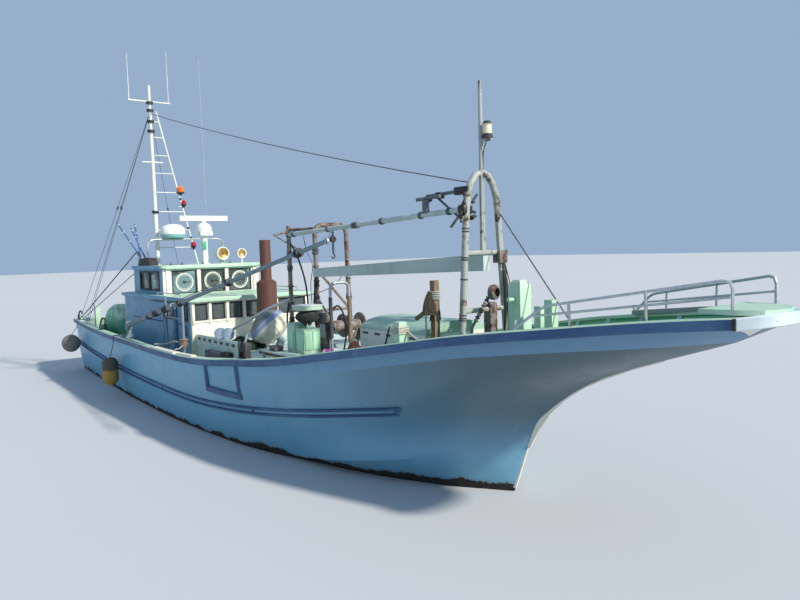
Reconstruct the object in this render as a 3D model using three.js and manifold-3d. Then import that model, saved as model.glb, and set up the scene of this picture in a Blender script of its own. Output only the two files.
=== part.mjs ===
// Coastal stern trawler with a moulded hull, a low deckhouse and a raised wheelhouse.
// Millimetres. +X points to the bow, +Y to port, +Z up. The origin lies on the centreline
// at the waterline, midway along the waterline. Starboard pieces are made first and
// the port ones are their mirror images.
import * as THREE from "three";
import { mergeVertices } from "three/addons/utils/BufferGeometryUtils.js";
import Module from "manifold-3d";

const wasm = await Module();
wasm.setup();

// Driving dimensions
const GAP = 0.3; // clearance between pieces that touch
const HULL_STEPS = 30; // hull sections from transom to stem
const BULWARK = 80; // thickness of the bulwark
const CAP = { inside: 110, outside: 60, height: 40 };
const GUARD_DEPTH = 110; // depth of the guard strip below the cap
const STRIP = { proud: 45, height: 45, spacing: 110, step: 450, off: 17 };
const WALL = 50; // deckhouse wall thickness
const HOUSE = { aft: -4000, fore: 400, half: 1380, top: 2330 };
const WHEELHOUSE = { aft: -3730, fore: -1650, half: 1200, top: 3000 };
const ROOF = 60;
const DOOR = { aft: -1120, fore: -470, sill: 980, head: 2200, slab: 35, lap: 40, travel: 700 };
const CASING = { fore: 4350, half: 1300, top: 1500 };
const FOREDECK_STEP = 5250;
const MAST = { x: -3500, y: -650, top: 7550 };
const PROPELLER = { x: -6550, z: -1180, radius: 600 };
const RUDDER_STOCK = { x: -7250, radius: 45 };
const A_FRAME = { x: 7500, foot: 450, shoulder: 300, shoulderTop: 3750, apex: 4300 };
const BOOM = { heel: [-2070, -1900, 1740], tip: [5910, -1500, 3440] };

// Hull rows from the transom to the stem. Columns: x, half-breadth, z.
const ROWS = {
  keel: [[-7900, 0, -350], [-4000, 0, -600], [0, 0, -750], [4000, 0, -850], [6500, 0, -850],
    [7300, 0, -650], [7750, 0, -300], [8000, 0, 0], [8250, 0, 650]],
  chine: [[-8000, 1450, -100], [-4000, 1680, -180], [0, 1800, -200], [3000, 1690, -100],
    [4600, 1480, 50], [6000, 1320, 250], [7000, 960, 420], [7700, 520, 540], [8280, 0, 660]],
  bilge: [[-8040, 1520, 250], [-4000, 1790, 220], [0, 1920, 200], [3000, 1870, 330],
    [5000, 1600, 560], [6500, 1220, 760], [7500, 760, 930], [8620, 0, 1170]],
  flare: [[-8080, 1570, 700], [-4000, 1900, 700], [0, 2030, 700], [3000, 1980, 850],
    [5000, 1740, 1020], [6500, 1450, 1190], [7500, 1170, 1330], [8500, 680, 1520], [9450, 0, 1720]],
  knuckle: [[-8130, 1590, 1200], [-6000, 1850, 1235], [-3760, 1985, 1190], [-1340, 2060, 1170],
    [700, 2075, 1145], [2400, 2040, 1180], [4100, 1940, 1330], [5000, 1860, 1430],
    [6000, 1700, 1590], [6900, 1550, 1740], [8180, 1260, 1965], [8850, 1060, 2050],
    [9500, 830, 2125], [10400, 420, 2215], [11000, 0, 2280]],
  sheer: [[-8150, 1600, 1460], [-6000, 1880, 1480], [-3760, 2010, 1440], [-1340, 2080, 1420],
    [700, 2090, 1395], [2400, 2060, 1430], [4100, 1970, 1580], [5000, 1900, 1680],
    [6000, 1770, 1840], [6900, 1630, 1990], [7500, 1510, 2090], [8180, 1360, 2205],
    [8850, 1190, 2295], [9500, 1000, 2370], [10400, 720, 2470], [11200, 450, 2535],
    [11520, 320, 2550]],
};
const ROW_ORDER = ["sheer", "knuckle", "flare", "bilge", "chine", "keel"];

// Deck height along the boat. Columns: x, z. The foredeck is a step higher.
const MAIN_DECK = [[-8300, 850], [FOREDECK_STEP, 800]];
const FOREDECK = [[FOREDECK_STEP, 1400], [6900, 1700], [8000, 1895], [9500, 2150], [11700, 2420]];

// Booleans on closed meshes
function toSolid(geometry) {
  const plain = new THREE.BufferGeometry();
  plain.setAttribute("position", geometry.getAttribute("position").clone());
  if (geometry.index) plain.setIndex(geometry.index.clone());
  const merged = geometry.userData.shared ? plain : mergeVertices(plain, 0.005);
  const corners = merged.index.array;
  const faces = [];
  for (let i = 0; i < corners.length; i += 3) {
    const [a, b, c] = [corners[i], corners[i + 1], corners[i + 2]];
    if (a !== b && b !== c && c !== a) faces.push(a, b, c);
  }
  return new wasm.Manifold(new wasm.Mesh({
    numProp: 3,
    vertProperties: new Float32Array(merged.getAttribute("position").array),
    triVerts: new Uint32Array(faces),
  }));
}

function toGeometry(solid) {
  const mesh = solid.getMesh();
  const geometry = new THREE.BufferGeometry();
  geometry.setAttribute("position", new THREE.BufferAttribute(new Float32Array(mesh.vertProperties), 3));
  geometry.setIndex(new THREE.BufferAttribute(new Uint32Array(mesh.triVerts), 1));
  geometry.userData.shared = true; // its corners are already merged
  return geometry;
}

const join = (...pieces) => toGeometry(pieces.map(toSolid).reduce((a, b) => a.add(b)));
const cut = (piece, ...tools) =>
  toGeometry(tools.map(toSolid).reduce((a, b) => a.subtract(b), toSolid(piece)));
const common = (a, b) => toGeometry(toSolid(a).intersect(toSolid(b)));
const shifted = (piece, offset) => piece.clone().translate(...offset);

// Takes away copies of a neighbour moved by each offset, so that a gap stays
const clearOf = (piece, neighbour, ...offsets) =>
  cut(piece, ...offsets.map((offset) => shifted(neighbour, offset)));

// The same piece on the other side. Booleans leave every piece that is mirrored here indexed
function mirrored(piece) {
  const geometry = piece.index ? piece.clone() : toGeometry(toSolid(piece));
  geometry.scale(1, -1, 1);
  const index = geometry.index.array;
  for (let i = 0; i < index.length; i += 3) [index[i], index[i + 1]] = [index[i + 1], index[i]];
  return geometry;
}

// Shapes
const block = ([x0, x1], [y0, y1], [z0, z1]) =>
  new THREE.BoxGeometry(x1 - x0, y1 - y0, z1 - z0)
    .translate((x0 + x1) / 2, (y0 + y1) / 2, (z0 + z1) / 2);

const outlineOf = (points) => new THREE.Shape(points.map(([u, v]) => new THREE.Vector2(u, v)));
const plainExtrude = (points, depth) =>
  new THREE.ExtrudeGeometry(outlineOf(points), { depth, bevelEnabled: false, steps: 1 });
const rectangle = ([u0, u1], [v0, v1]) => [[u0, v0], [u1, v0], [u1, v1], [u0, v1]];

// Cuts each hole, an outline like the first, through an extruded piece
function withHoles(shape, points, [from, to], holes = []) {
  const piece = shape(points, [from, to]);
  if (!holes.length) return piece;
  return cut(piece, ...holes.map((hole) => shape(hole, [from - 10, to + 10])));
}

// An outline in X and Z, from one y to another
const sideways = (points, span, holes) => withHoles((outline, [y0, y1]) =>
  plainExtrude(outline, y1 - y0).rotateX(Math.PI / 2).translate(0, y1, 0), points, span, holes);

// An outline in Y and Z, from one x to another
const TO_X = new THREE.Matrix4().makeBasis(
  new THREE.Vector3(0, 1, 0), new THREE.Vector3(0, 0, 1), new THREE.Vector3(1, 0, 0));
const lengthways = (points, span, holes) => withHoles((outline, [x0, x1]) =>
  plainExtrude(outline, x1 - x0).applyMatrix4(TO_X).translate(x0, 0, 0), points, span, holes);

// An outline in X and Y, from one z to another
const upright = (points, span, holes) => withHoles((outline, [z0, z1]) =>
  plainExtrude(outline, z1 - z0).translate(0, 0, z0), points, span, holes);

function alignTo(geometry, from, to) {
  const start = new THREE.Vector3(...from);
  const along = new THREE.Vector3(...to).sub(start).normalize();
  const turn = new THREE.Quaternion().setFromUnitVectors(new THREE.Vector3(0, 1, 0), along);
  return geometry.applyQuaternion(turn).translate(...from);
}

function rod(from, to, radius, sides = 12, endRadius = radius) {
  const length = new THREE.Vector3(...from).distanceTo(new THREE.Vector3(...to));
  const bar = new THREE.CylinderGeometry(endRadius, radius, length, sides).translate(0, length / 2, 0);
  return alignTo(bar, from, to);
}

// A solid of revolution about the line between two points. Columns: radius, distance along
function turned(profile, from, to, sides = 24) {
  const points = profile.map(([radius, along]) => new THREE.Vector2(radius, along));
  return alignTo(new THREE.LatheGeometry(points, sides), from, to);
}

// A skin over sections of equal length, closed by fans at both ends.
// endFan names the corners that the last section keeps where it collapses to a line.
// From the corner mirrorFrom on, the quads are split the other way, as on a mirror image.
function skin(sections, endFan, mirrorFrom = Infinity) {
  const count = sections[0].length;
  const position = sections.flat(2);
  const faces = [];
  for (let s = 0; s + 1 < sections.length; s += 1) {
    for (let j = 0; j < count; j += 1) {
      const next = (j + 1) % count;
      const [a, b] = [s * count + j, s * count + next];
      const [c, d] = [a + count, b + count];
      faces.push(...(j < mirrorFrom ? [a, c, b, b, c, d] : [a, c, d, a, d, b]));
    }
  }
  const last = (sections.length - 1) * count;
  const fan = endFan ?? sections[0].map((_, j) => j);
  for (let j = 1; j + 1 < count; j += 1) faces.push(0, j, j + 1);
  for (let j = 1; j + 1 < fan.length; j += 1) {
    faces.push(last + fan[0], last + fan[j + 1], last + fan[j]);
  }
  const geometry = new THREE.BufferGeometry();
  geometry.setAttribute("position", new THREE.BufferAttribute(new Float32Array(position), 3));
  geometry.setIndex(faces);
  return facingOut(geometry);
}

function facingOut(geometry) {
  const p = geometry.getAttribute("position");
  const index = geometry.index.array;
  const corner = (i) => new THREE.Vector3().fromBufferAttribute(p, index[i]);
  let volume = 0;
  for (let i = 0; i < index.length; i += 3) {
    volume += corner(i).dot(corner(i + 1).cross(corner(i + 2)));
  }
  if (volume < 0) {
    for (let i = 0; i < index.length; i += 3) {
      [index[i], index[i + 1]] = [index[i + 1], index[i]];
    }
  }
  return geometry;
}

// A round tube through the points, with one section at each
function tube(points, radius, sides = 8) {
  const path = points.map((p) => new THREE.Vector3(...p));
  const ways = path.map((p, i) => {
    const before = path[Math.max(i - 1, 0)];
    const after = path[Math.min(i + 1, path.length - 1)];
    return after.clone().sub(p).normalize().add(p.clone().sub(before).normalize()).normalize();
  });
  const first = Math.abs(ways[0].z) < 0.9 ? new THREE.Vector3(0, 0, 1) : new THREE.Vector3(1, 0, 0);
  let across = first.clone().cross(ways[0]).normalize();
  const sections = path.map((p, i) => {
    across = across.clone().addScaledVector(ways[i], -across.dot(ways[i])).normalize();
    const other = ways[i].clone().cross(across);
    return Array.from({ length: sides }, (_, k) => {
      const angle = (2 * Math.PI * k) / sides;
      return p.clone().addScaledVector(across, radius * Math.cos(angle))
        .addScaledVector(other, radius * Math.sin(angle)).toArray();
    });
  });
  return skin(sections);
}

// A polyline with its inner corners rounded, as points for a tube
function rounded(points, bend, steps = 4) {
  const path = points.map((p) => new THREE.Vector3(...p));
  const result = [path[0].toArray()];
  for (let i = 1; i + 1 < path.length; i += 1) {
    const back = path[i - 1].clone().sub(path[i]);
    const ahead = path[i + 1].clone().sub(path[i]);
    const reach = Math.min(bend, back.length() / 2, ahead.length() / 2);
    const curve = new THREE.QuadraticBezierCurve3(
      path[i].clone().addScaledVector(back.normalize(), reach), path[i],
      path[i].clone().addScaledVector(ahead.normalize(), reach));
    result.push(...curve.getPoints(steps).map((p) => p.toArray()));
  }
  result.push(path.at(-1).toArray());
  return result;
}

// Hull surface
// A smooth curve through a table at x: column 0 is x, the others are returned
function along(table, x) {
  const last = table.length - 1;
  let i = 0;
  while (i < last - 1 && x > table[i + 1][0]) i += 1;
  const [p, q] = [table[i], table[i + 1]];
  const width = q[0] - p[0];
  const t = THREE.MathUtils.clamp((x - p[0]) / width, 0, 1);
  const slope = (k, column) => {
    const [low, high] = [table[Math.max(k - 1, 0)], table[Math.min(k + 1, last)]];
    return (high[column] - low[column]) / (high[0] - low[0]);
  };
  return p.slice(1).map((_, k) => {
    const column = k + 1;
    const [m0, m1] = [slope(i, column) * width, slope(i + 1, column) * width];
    const [t2, t3] = [t * t, t * t * t];
    return (2 * t3 - 3 * t2 + 1) * p[column] + (t3 - 2 * t2 + t) * m0
      + (3 * t2 - 2 * t3) * q[column] + (t3 - t2) * m1;
  });
}

const line = (table, x) => {
  let i = 0;
  while (i < table.length - 2 && x > table[i + 1][0]) i += 1;
  const [p, q] = [table[i], table[i + 1]];
  return p[1] + ((x - p[0]) * (q[1] - p[1])) / (q[0] - p[0]);
};

function rowPoint(name, x) {
  const table = ROWS[name];
  const inside = THREE.MathUtils.clamp(x, table[0][0], table.at(-1)[0]);
  const [y, z] = along(table, inside);
  return [inside, Math.max(y, 0), z];
}

const sheer = (x) => rowPoint("sheer", x);
const mainDeck = (x) => line(MAIN_DECK, x);
const foreDeck = (x) => line(FOREDECK, x);
const deck = (x) => (x < FOREDECK_STEP ? mainDeck(x) : foreDeck(x));
const capTop = (x) => sheer(x)[2] + CAP.height;

// The share of each row's length that its stations lie at, closer together near the stem
const STATIONS = Array.from({ length: HULL_STEPS + 1 }, (_, k) =>
  k / HULL_STEPS + 0.1 * Math.sin((Math.PI * k) / HULL_STEPS));
const stationX = (name, share) =>
  ROWS[name][0][0] + share * (ROWS[name].at(-1)[0] - ROWS[name][0][0]);

function hullSections() {
  return STATIONS.map((share) => {
    const side = ROW_ORDER.map((name) => rowPoint(name, stationX(name, share)));
    const starboard = side.map(([x, y, z]) => [x, -y, z]);
    return [...starboard, ...side.slice(0, -1).reverse()];
  });
}

const KEEL_CORNER = ROW_ORDER.length - 1;
const outerHull = skin(hullSections(), [0, 1, 2 * KEEL_CORNER], KEEL_CORNER);

// Half-breadth of the faceted hull at x and z
const hullFaces = outerHull.toNonIndexed().getAttribute("position");
function halfBreadth(x, z) {
  const ray = new THREE.Ray(new THREE.Vector3(x, 9000, z), new THREE.Vector3(0, -1, 0));
  const [a, b, c, hit] = [0, 1, 2, 3].map(() => new THREE.Vector3());
  let widest = 0;
  for (let i = 0; i < hullFaces.count; i += 3) {
    a.fromBufferAttribute(hullFaces, i);
    b.fromBufferAttribute(hullFaces, i + 1);
    c.fromBufferAttribute(hullFaces, i + 2);
    if (ray.intersectTriangle(a, b, c, false, hit)) widest = Math.max(widest, hit.y);
  }
  return widest;
}

// The space between the bulwarks, from a little below the deck up
const WELL = { aft: -8050, fore: 10900, below: 200, above: 20, top: 4000 };
function well() {
  const inner = STATIONS.map((share) => stationX("sheer", share))
    .filter((x) => x > WELL.aft && x < WELL.fore);
  const sections = [WELL.aft, ...inner, WELL.fore].map((x) => {
    const low = Math.min(mainDeck(x), deck(x)) - WELL.below;
    const foot = halfBreadth(x, deck(x)) - BULWARK;
    const [, rim, rimTop] = sheer(x);
    const high = rimTop + WELL.above;
    const rail = rim - BULWARK;
    const lean = (rail - foot) / (high - deck(x));
    const bottom = foot - lean * (deck(x) - low);
    return [[x, -bottom, low], [x, bottom, low], [x, rail, high],
      [x, rail, WELL.top], [x, -rail, WELL.top], [x, -rail, high]];
  });
  return skin(sections);
}

const aboveDeck = (lift) => sideways([
  ...[...MAIN_DECK, ...FOREDECK].map(([x, z]) => [x - (x === FOREDECK_STEP ? lift : 0), z + lift]),
  [11700, 5000], [-8300, 5000],
], [-3000, 3000]);

const hull = cut(outerHull, aboveDeck(0));
const bulwarkRing = cut(common(outerHull, aboveDeck(GAP)), well());
const half = (piece) => common(piece, block([-9000, 12000], [-4000, -GAP / 2], [-3000, 9000]));

// Cuts a piece that starts a little below the deck so that it stands on it
const onDeck = (piece) => clearOf(piece, hull, [0, 0, GAP]);

// A strip along the starboard side that follows the hull
function sideStrip([from, to], lowAt, highAt, proud, inner = -25) {
  const count = Math.max(1, Math.round((to - from) / STRIP.step));
  const sections = Array.from({ length: count + 1 }, (_, k) => {
    const x = from + ((to - from) * k) / count;
    const [low, high] = [lowAt(x), highAt(x)];
    const [a, b] = [halfBreadth(x, low), halfBreadth(x, high)];
    return [[x, -a - inner, low], [x, -a - proud, low], [x, -b - proud, high], [x, -b - inner, high]];
  });
  return skin(sections);
}

// Fore mooring posts belong to the bulwarks. Stern ones stand on a plank.
const POST = 135;
const FORE_POST = { x: 7330, y: -1350, top: 2370 };
function forePost() {
  const { x, y, top } = FORE_POST;
  const post = block([x - POST / 2, x + POST / 2], [y - POST / 2, y + POST / 2], [1778, top]);
  const bracket = block([x - 50, x + 50], [y - POST / 2 - 60, y], [1880, 2000]);
  return onDeck(join(post, bracket));
}
const bulwark = join(half(bulwarkRing), forePost());
const onSide = (piece) => clearOf(clearOf(piece, hull, [0, -GAP, 0]), bulwark, [0, -GAP, 0]);

function sternBitts() {
  const plank = onDeck(block([-7420, -7220], [-1320, 1320], [800, 985]));
  const posts = [-1200, 1200].map((y) =>
    block([-7320 - POST / 2, -7320 + POST / 2], [y - POST / 2, y + POST / 2], [980, 1910]));
  return join(plank, ...posts);
}

// Cap and guard along the sheer, with the frame of the side gate
const GATE = { aft: 2600, fore: 3800, low: 900, strip: 95, proud: 40 };
function sheerRail() {
  const sections = STATIONS.slice(0, -1).map((share) => {
    const [x, y, z] = sheer(stationX("sheer", share));
    const inner = Math.max(y - CAP.inside, 40);
    return [[x, -y - GAP, z + GAP], [x, -y - GAP, z - GUARD_DEPTH], [x, -y - CAP.outside, z - GUARD_DEPTH],
      [x, -y - CAP.outside, z + CAP.height], [x, -inner, z + CAP.height], [x, -inner, z + GAP]];
  });
  const [start, stern] = sheer(ROWS.sheer[0][0]);
  const edge = sheer(start + CAP.inside)[2] + GAP;
  const width = [-stern - CAP.outside, -GAP / 2];
  const sternCap = block([start - CAP.outside, start + CAP.inside], width, [edge, edge + CAP.height]);
  const sternGuard = block([start - CAP.outside, start - GAP], width,
    [edge - GUARD_DEPTH, edge + CAP.height]);
  const under = (x) => sheer(x)[2] - 30;
  const uprights = [GATE.aft, GATE.fore - GATE.strip].map((x) =>
    sideStrip([x, x + GATE.strip], () => GATE.low, under, GATE.proud));
  const sill = sideStrip([GATE.aft, GATE.fore], () => GATE.low, () => GATE.low + GATE.strip, GATE.proud);
  const frame = onSide(join(...uprights, sill));
  return join(skin(sections), sternCap, sternGuard, frame);
}

// Double rubbing strips lower on the side, with cross pieces at their seats. Columns: x, z.
const STRIP_LINE = [[-7900, 820], [-4000, 730], [0, 650], [2080, 640], [4500, 790], [7150, 1140]];
function sideGuard() {
  const centre = (x) => along(STRIP_LINE, x)[0];
  const strips = [-1, 1].map((side) => {
    const middle = (x) => centre(x) + (side * STRIP.spacing) / 2;
    return sideStrip([-7900, 7150], (x) => middle(x) - STRIP.height / 2,
      (x) => middle(x) + STRIP.height / 2, STRIP.proud, STRIP.off);
  });
  const tall = (STRIP.spacing + STRIP.height) / 2;
  const seats = [[-7900, -7850], [-3800, -3750], [300, 350], [4000, 4050], [7100, 7150]].map((span) =>
    onSide(sideStrip(span, (x) => centre(x) - tall, (x) => centre(x) + tall, STRIP.proud)));
  return join(...strips, ...seats);
}

// Underwater pieces
const SHOE_TOP = -1850;
function keelSkeg() {
  const outline = [[7480, -200], [7480, -560], [6900, -1060], [6200, -1250], [-7500, -1950],
    [-7500, SHOE_TOP], [-6330, SHOE_TOP], [-6120, -1650], [-6120, -200]];
  const plate = sideways(outline, [-90, 90]);
  const sternTube = rod([-5400, 0, PROPELLER.z], [-6250, 0, PROPELLER.z], 60, 16, 110);
  return clearOf(join(plate, sternTube), hull, [0, 0, -GAP]);
}

function rudder() {
  const [nose, tail, low, high] = [-7010, -7760, -1790, -560];
  const blade = upright([[nose, 0], [nose - 60, 32], [nose - 260, 42], [tail, 8], [tail, -8],
    [nose - 260, -42], [nose - 60, -32]], [low, high]);
  const top = rowPoint("keel", RUDDER_STOCK.x + RUDDER_STOCK.radius)[2] - GAP - 0.1;
  const stock = rod([RUDDER_STOCK.x, 0, SHOE_TOP + GAP], [RUDDER_STOCK.x, 0, top], RUDDER_STOCK.radius, 16);
  return join(blade, stock);
}

function propeller() {
  const { x, z, radius } = PROPELLER;
  const hub = turned([[0, 0], [70, 20], [105, 90], [110, 200], [90, 260], [0, 260]],
    [x - 130, 0, z], [x, 0, z], 14);
  const shaft = rod([x + 100, 0, z], [-6250 - GAP, 0, z], 40, 16);
  const blades = Array.from({ length: 4 }, (_, k) => {
    const outline = new THREE.Shape();
    outline.absellipse(0, radius * 0.56, radius * 0.3, radius * 0.44, 0, 2 * Math.PI);
    const blade = new THREE.ExtrudeGeometry(outline, { depth: 16, bevelEnabled: false, curveSegments: 6 });
    return blade.translate(0, 0, -8).rotateY(THREE.MathUtils.degToRad(58))
      .rotateX(Math.PI / 2 + (Math.PI / 2) * k).translate(x, 0, z);
  });
  return join(hub, shaft, ...blades);
}

// Deckhouse
const wallFoot = (from, to) => [
  [from, mainDeck(from) + GAP],
  ...MAIN_DECK.filter(([x]) => x > from && x < to).map(([x, z]) => [x, z + GAP]),
  [to, mainDeck(to) + GAP],
];

const HOUSE_WINDOWS = Array.from({ length: 7 }, (_, k) => (k - 3) * 390);
function houseFront() {
  const { fore, half: side, top } = HOUSE;
  const holes = HOUSE_WINDOWS.map((y) => rectangle([y - 135, y + 135], [1945, 2265]));
  const wall = lengthways(rectangle([-side, side], [700, top]), [fore - WALL, fore], holes);
  return onDeck(wall);
}

const houseBack = () =>
  onDeck(block([HOUSE.aft, HOUSE.aft + WALL], [-HOUSE.half, HOUSE.half], [700, HOUSE.top]));

const DOOR_TRACKS = [DOOR.sill - 60, DOOR.head + DOOR.lap + 5];
function houseSide() {
  const [from, to] = [HOUSE.aft + WALL + GAP, HOUSE.fore - WALL - GAP];
  const outline = [...wallFoot(from, to), [to, HOUSE.top], [from, HOUSE.top]];
  const doorway = rectangle([DOOR.aft, DOOR.fore], [DOOR.sill, DOOR.head]);
  const window = rectangle([-80, 190], [1930, 2280]);
  const wall = sideways(outline, [-HOUSE.half, -HOUSE.half + WALL], [doorway, window]);
  const span = [DOOR.aft - DOOR.lap - DOOR.travel - 30, DOOR.fore + DOOR.lap + 30];
  const tracks = DOOR_TRACKS.map((z) => block(span, [-HOUSE.half - 50, -HOUSE.half + 10], [z, z + 20]));
  return join(wall, ...tracks);
}

function cabinDoor() {
  const [low, high] = [DOOR_TRACKS[0] + 20 + GAP, DOOR_TRACKS[1] - 5];
  const face = -HOUSE.half - 5;
  const glass = rectangle([-1040, -530], [1940, 2180]);
  return sideways(rectangle([DOOR.aft - DOOR.lap, DOOR.fore + DOOR.lap], [low, high]),
    [face - DOOR.slab, face], [glass]);
}

function houseRoof() {
  const [aft, fore, side] = [HOUSE.aft - 60, HOUSE.fore + 100, HOUSE.half + 60];
  const hole = rectangle([WHEELHOUSE.aft + WALL + 30, WHEELHOUSE.fore - WALL - 30],
    [-WHEELHOUSE.half + WALL + 30, WHEELHOUSE.half - WALL - 30]);
  return upright(rectangle([aft, fore], [-side, side]), [HOUSE.top + GAP, HOUSE.top + ROOF], [hole]);
}

const FLOOR = HOUSE.top + ROOF + GAP; // foot of the wheelhouse walls
function wheelhouseFront() {
  const holes = [-700, 0, 700].map((y) => rectangle([y - 280, y + 280], [2415, 2930]));
  return lengthways(rectangle([-WHEELHOUSE.half, WHEELHOUSE.half], [FLOOR, WHEELHOUSE.top]),
    [WHEELHOUSE.fore - WALL, WHEELHOUSE.fore], holes);
}

const wheelhouseBack = () => lengthways(
  rectangle([-WHEELHOUSE.half, WHEELHOUSE.half], [FLOOR, WHEELHOUSE.top]),
  [WHEELHOUSE.aft, WHEELHOUSE.aft + WALL], [rectangle([-500, 500], [2500, 2900])]);

function wheelhouseSide() {
  const [from, to] = [WHEELHOUSE.aft + WALL + GAP, WHEELHOUSE.fore - WALL - GAP];
  const holes = [rectangle([-3210, -2600], [2500, 2910]), rectangle([-2530, -1920], [2500, 2910])];
  return sideways(rectangle([from, to], [FLOOR, WHEELHOUSE.top]),
    [-WHEELHOUSE.half, -WHEELHOUSE.half + WALL], holes);
}

function roundedPlan([x0, x1], [y0, y1], radius, steps = 4) {
  const centres = [[x1 - radius, y1 - radius, 0], [x0 + radius, y1 - radius, 1],
    [x0 + radius, y0 + radius, 2], [x1 - radius, y0 + radius, 3]];
  return centres.flatMap(([x, y, quarter]) => Array.from({ length: steps + 1 }, (_, k) => {
    const angle = (Math.PI / 2) * (quarter + k / steps);
    return [x + radius * Math.cos(angle), y + radius * Math.sin(angle)];
  }));
}

// The roof, with the searchlight's stand and a locker on it
const ROOF_TOP = WHEELHOUSE.top + GAP + ROOF;
const LIGHT = { x: -1700, y: 260, foot: 3140 };
function wheelhouseRoof() {
  const plan = roundedPlan([WHEELHOUSE.aft - 60, WHEELHOUSE.fore + 90],
    [-WHEELHOUSE.half - 60, WHEELHOUSE.half + 60], 120);
  const slab = upright(plan, [WHEELHOUSE.top + GAP, ROOF_TOP]);
  const locker = block([-3640, -3340], [-1120, -880], [ROOF_TOP - 10, 3260]);
  const stand = rod([LIGHT.x, LIGHT.y, ROOF_TOP - 10], [LIGHT.x, LIGHT.y, LIGHT.foot], 45, 12);
  return join(slab, locker, stand);
}

// Casing ahead of the deckhouse, with a pierced rail and a shelf on its starboard edge
function casing() {
  const body = onDeck(block([HOUSE.fore + GAP, CASING.fore], [-CASING.half, CASING.half],
    [650, CASING.top]));
  const shelf = block([3300, 4300], [-CASING.half - 30, -CASING.half + 220],
    [CASING.top - 10, CASING.top + 110]);
  return join(body, shelf, casingRail());
}

function casingRail() {
  const [from, to, count] = [HOUSE.fore + 20, 2850, 9];
  const pitch = (to - from) / count;
  const holes = Array.from({ length: count }, (_, k) => {
    const x = from + pitch * (k + 0.5);
    return rectangle([x - 75, x + 75], [CASING.top + 50, CASING.top + 110]);
  });
  return sideways(rectangle([from, to], [CASING.top - 10, CASING.top + 160]),
    [-CASING.half, -CASING.half + 40], holes);
}

const onCasing = (piece) =>
  cut(piece, block([HOUSE.fore, CASING.fore], [-1500, 1500], [900, CASING.top + GAP]));
const STACK = { x: 1100, lower: 210, upper: 115, shoulder: 2680, top: 3560 };
const exhaustStack = () => turned([[0, 0], [STACK.lower, 0],
  [STACK.lower, STACK.shoulder - CASING.top], [STACK.upper, STACK.shoulder - CASING.top + 60],
  [STACK.upper, STACK.top - CASING.top], [STACK.upper - 12, STACK.top - CASING.top],
  [STACK.upper - 12, STACK.top - CASING.top - 150], [0, STACK.top - CASING.top - 150]],
  [STACK.x, 0, CASING.top + GAP], [STACK.x, 0, STACK.top], 20);

// Hauler with a domed drum on a slanting axis
const HAULER = { x: 2520, y: -520, z: 1690, way: [-0.45, -0.5, 0.74] };
const haulerAxis = new THREE.Vector3(...HAULER.way).normalize();
const onHauler = (distance) => new THREE.Vector3(HAULER.x, HAULER.y, HAULER.z)
  .addScaledVector(haulerAxis, distance).toArray();
const haulerDrum = () => turned([[0, 0], [150, 0], [250, 40], [350, 190], [375, 240], [375, 300],
  [355, 360], [290, 450], [190, 520], [90, 555], [0, 560]], onHauler(0), onHauler(1), 20);
function haulerStand() {
  const arm = rod(onHauler(-GAP), onHauler(-150), 60, 12);
  const foot = rod([HAULER.x, HAULER.y, CASING.top - 20], onHauler(-60), 90, 12, 60);
  return cut(onCasing(join(arm, foot)), turned([[0, 0], [400, 0], [400, 300], [0, 300]],
    onHauler(-GAP), onHauler(1), 12));
}

const WINCH = { x: 3150, y0: 60, y1: 1000, z: 1860, drum: 230 };
function winchStand() {
  const cheek = [[WINCH.x - 260, CASING.top + GAP], [WINCH.x + 260, CASING.top + GAP],
    [WINCH.x + 90, WINCH.z + 90], [WINCH.x - 90, WINCH.z + 90]];
  const cheeks = [WINCH.y0, WINCH.y1 - 60].map((y) => sideways(cheek, [y, y + 60]));
  const tie = block([WINCH.x - 250, WINCH.x + 250], [WINCH.y0, WINCH.y1],
    [CASING.top + GAP, CASING.top + 60]);
  return join(...cheeks, tie);
}
function winchDrum() {
  const [from, to] = [WINCH.y0 + 60 + GAP, WINCH.y1 - 60 - GAP];
  const span = to - from;
  const { drum } = WINCH;
  return turned([[0, 0], [60, 0], [60, 8], [drum, 8], [drum, 28], [110, 28], [110, span / 2 - 10],
    [drum, span / 2 - 10], [drum, span / 2 + 10], [110, span / 2 + 10], [110, span - 28],
    [drum, span - 28], [drum, span - 8], [60, span - 8], [60, span], [0, span]],
    [WINCH.x, from, WINCH.z], [WINCH.x, to, WINCH.z], 16);
}

function cabinets() {
  const low = CASING.top + GAP;
  const boxes = [block([3760, 4020], [-1020, -760], [low, 2090]),
    block([4060, 4320], [-1020, -700], [low, 2010])];
  const base = block([3760, 4320], [-1020, -700], [low, low + 60]);
  const post = block([4150, 4190], [-870, -830], [2000, 2330]);
  const cover = block([3960, 4320], [-1020, -640], [2320, 2390]);
  return join(...boxes, base, post, cover);
}

// Frames over the working deck
const TUBE = 42;
const GANTRY = { x: 3800, starboard: -420, port: 230, top: 3750 };
function gantry() {
  const { x, starboard, port, top } = GANTRY;
  const foot = CASING.top - 30;
  const hoop = tube(rounded([[x, starboard, foot], [x, starboard, top], [x, port, top],
    [x, port + 40, foot]], 160), TUBE, 8);
  const pole = rod([3200, -600, foot], [3200, -600, top + 10], 40, 8);
  const link = rod([3200, -600, top - 60], [x, starboard, top - 60], 28, 8);
  const brace = rod([x, starboard, 3000], [x, port + 20, 2250], 25, 8);
  const rung = rod([x, starboard, 2250], [x, port + 20, 2250], 25, 8);
  return onCasing(join(hoop, pole, link, brace, rung));
}

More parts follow.
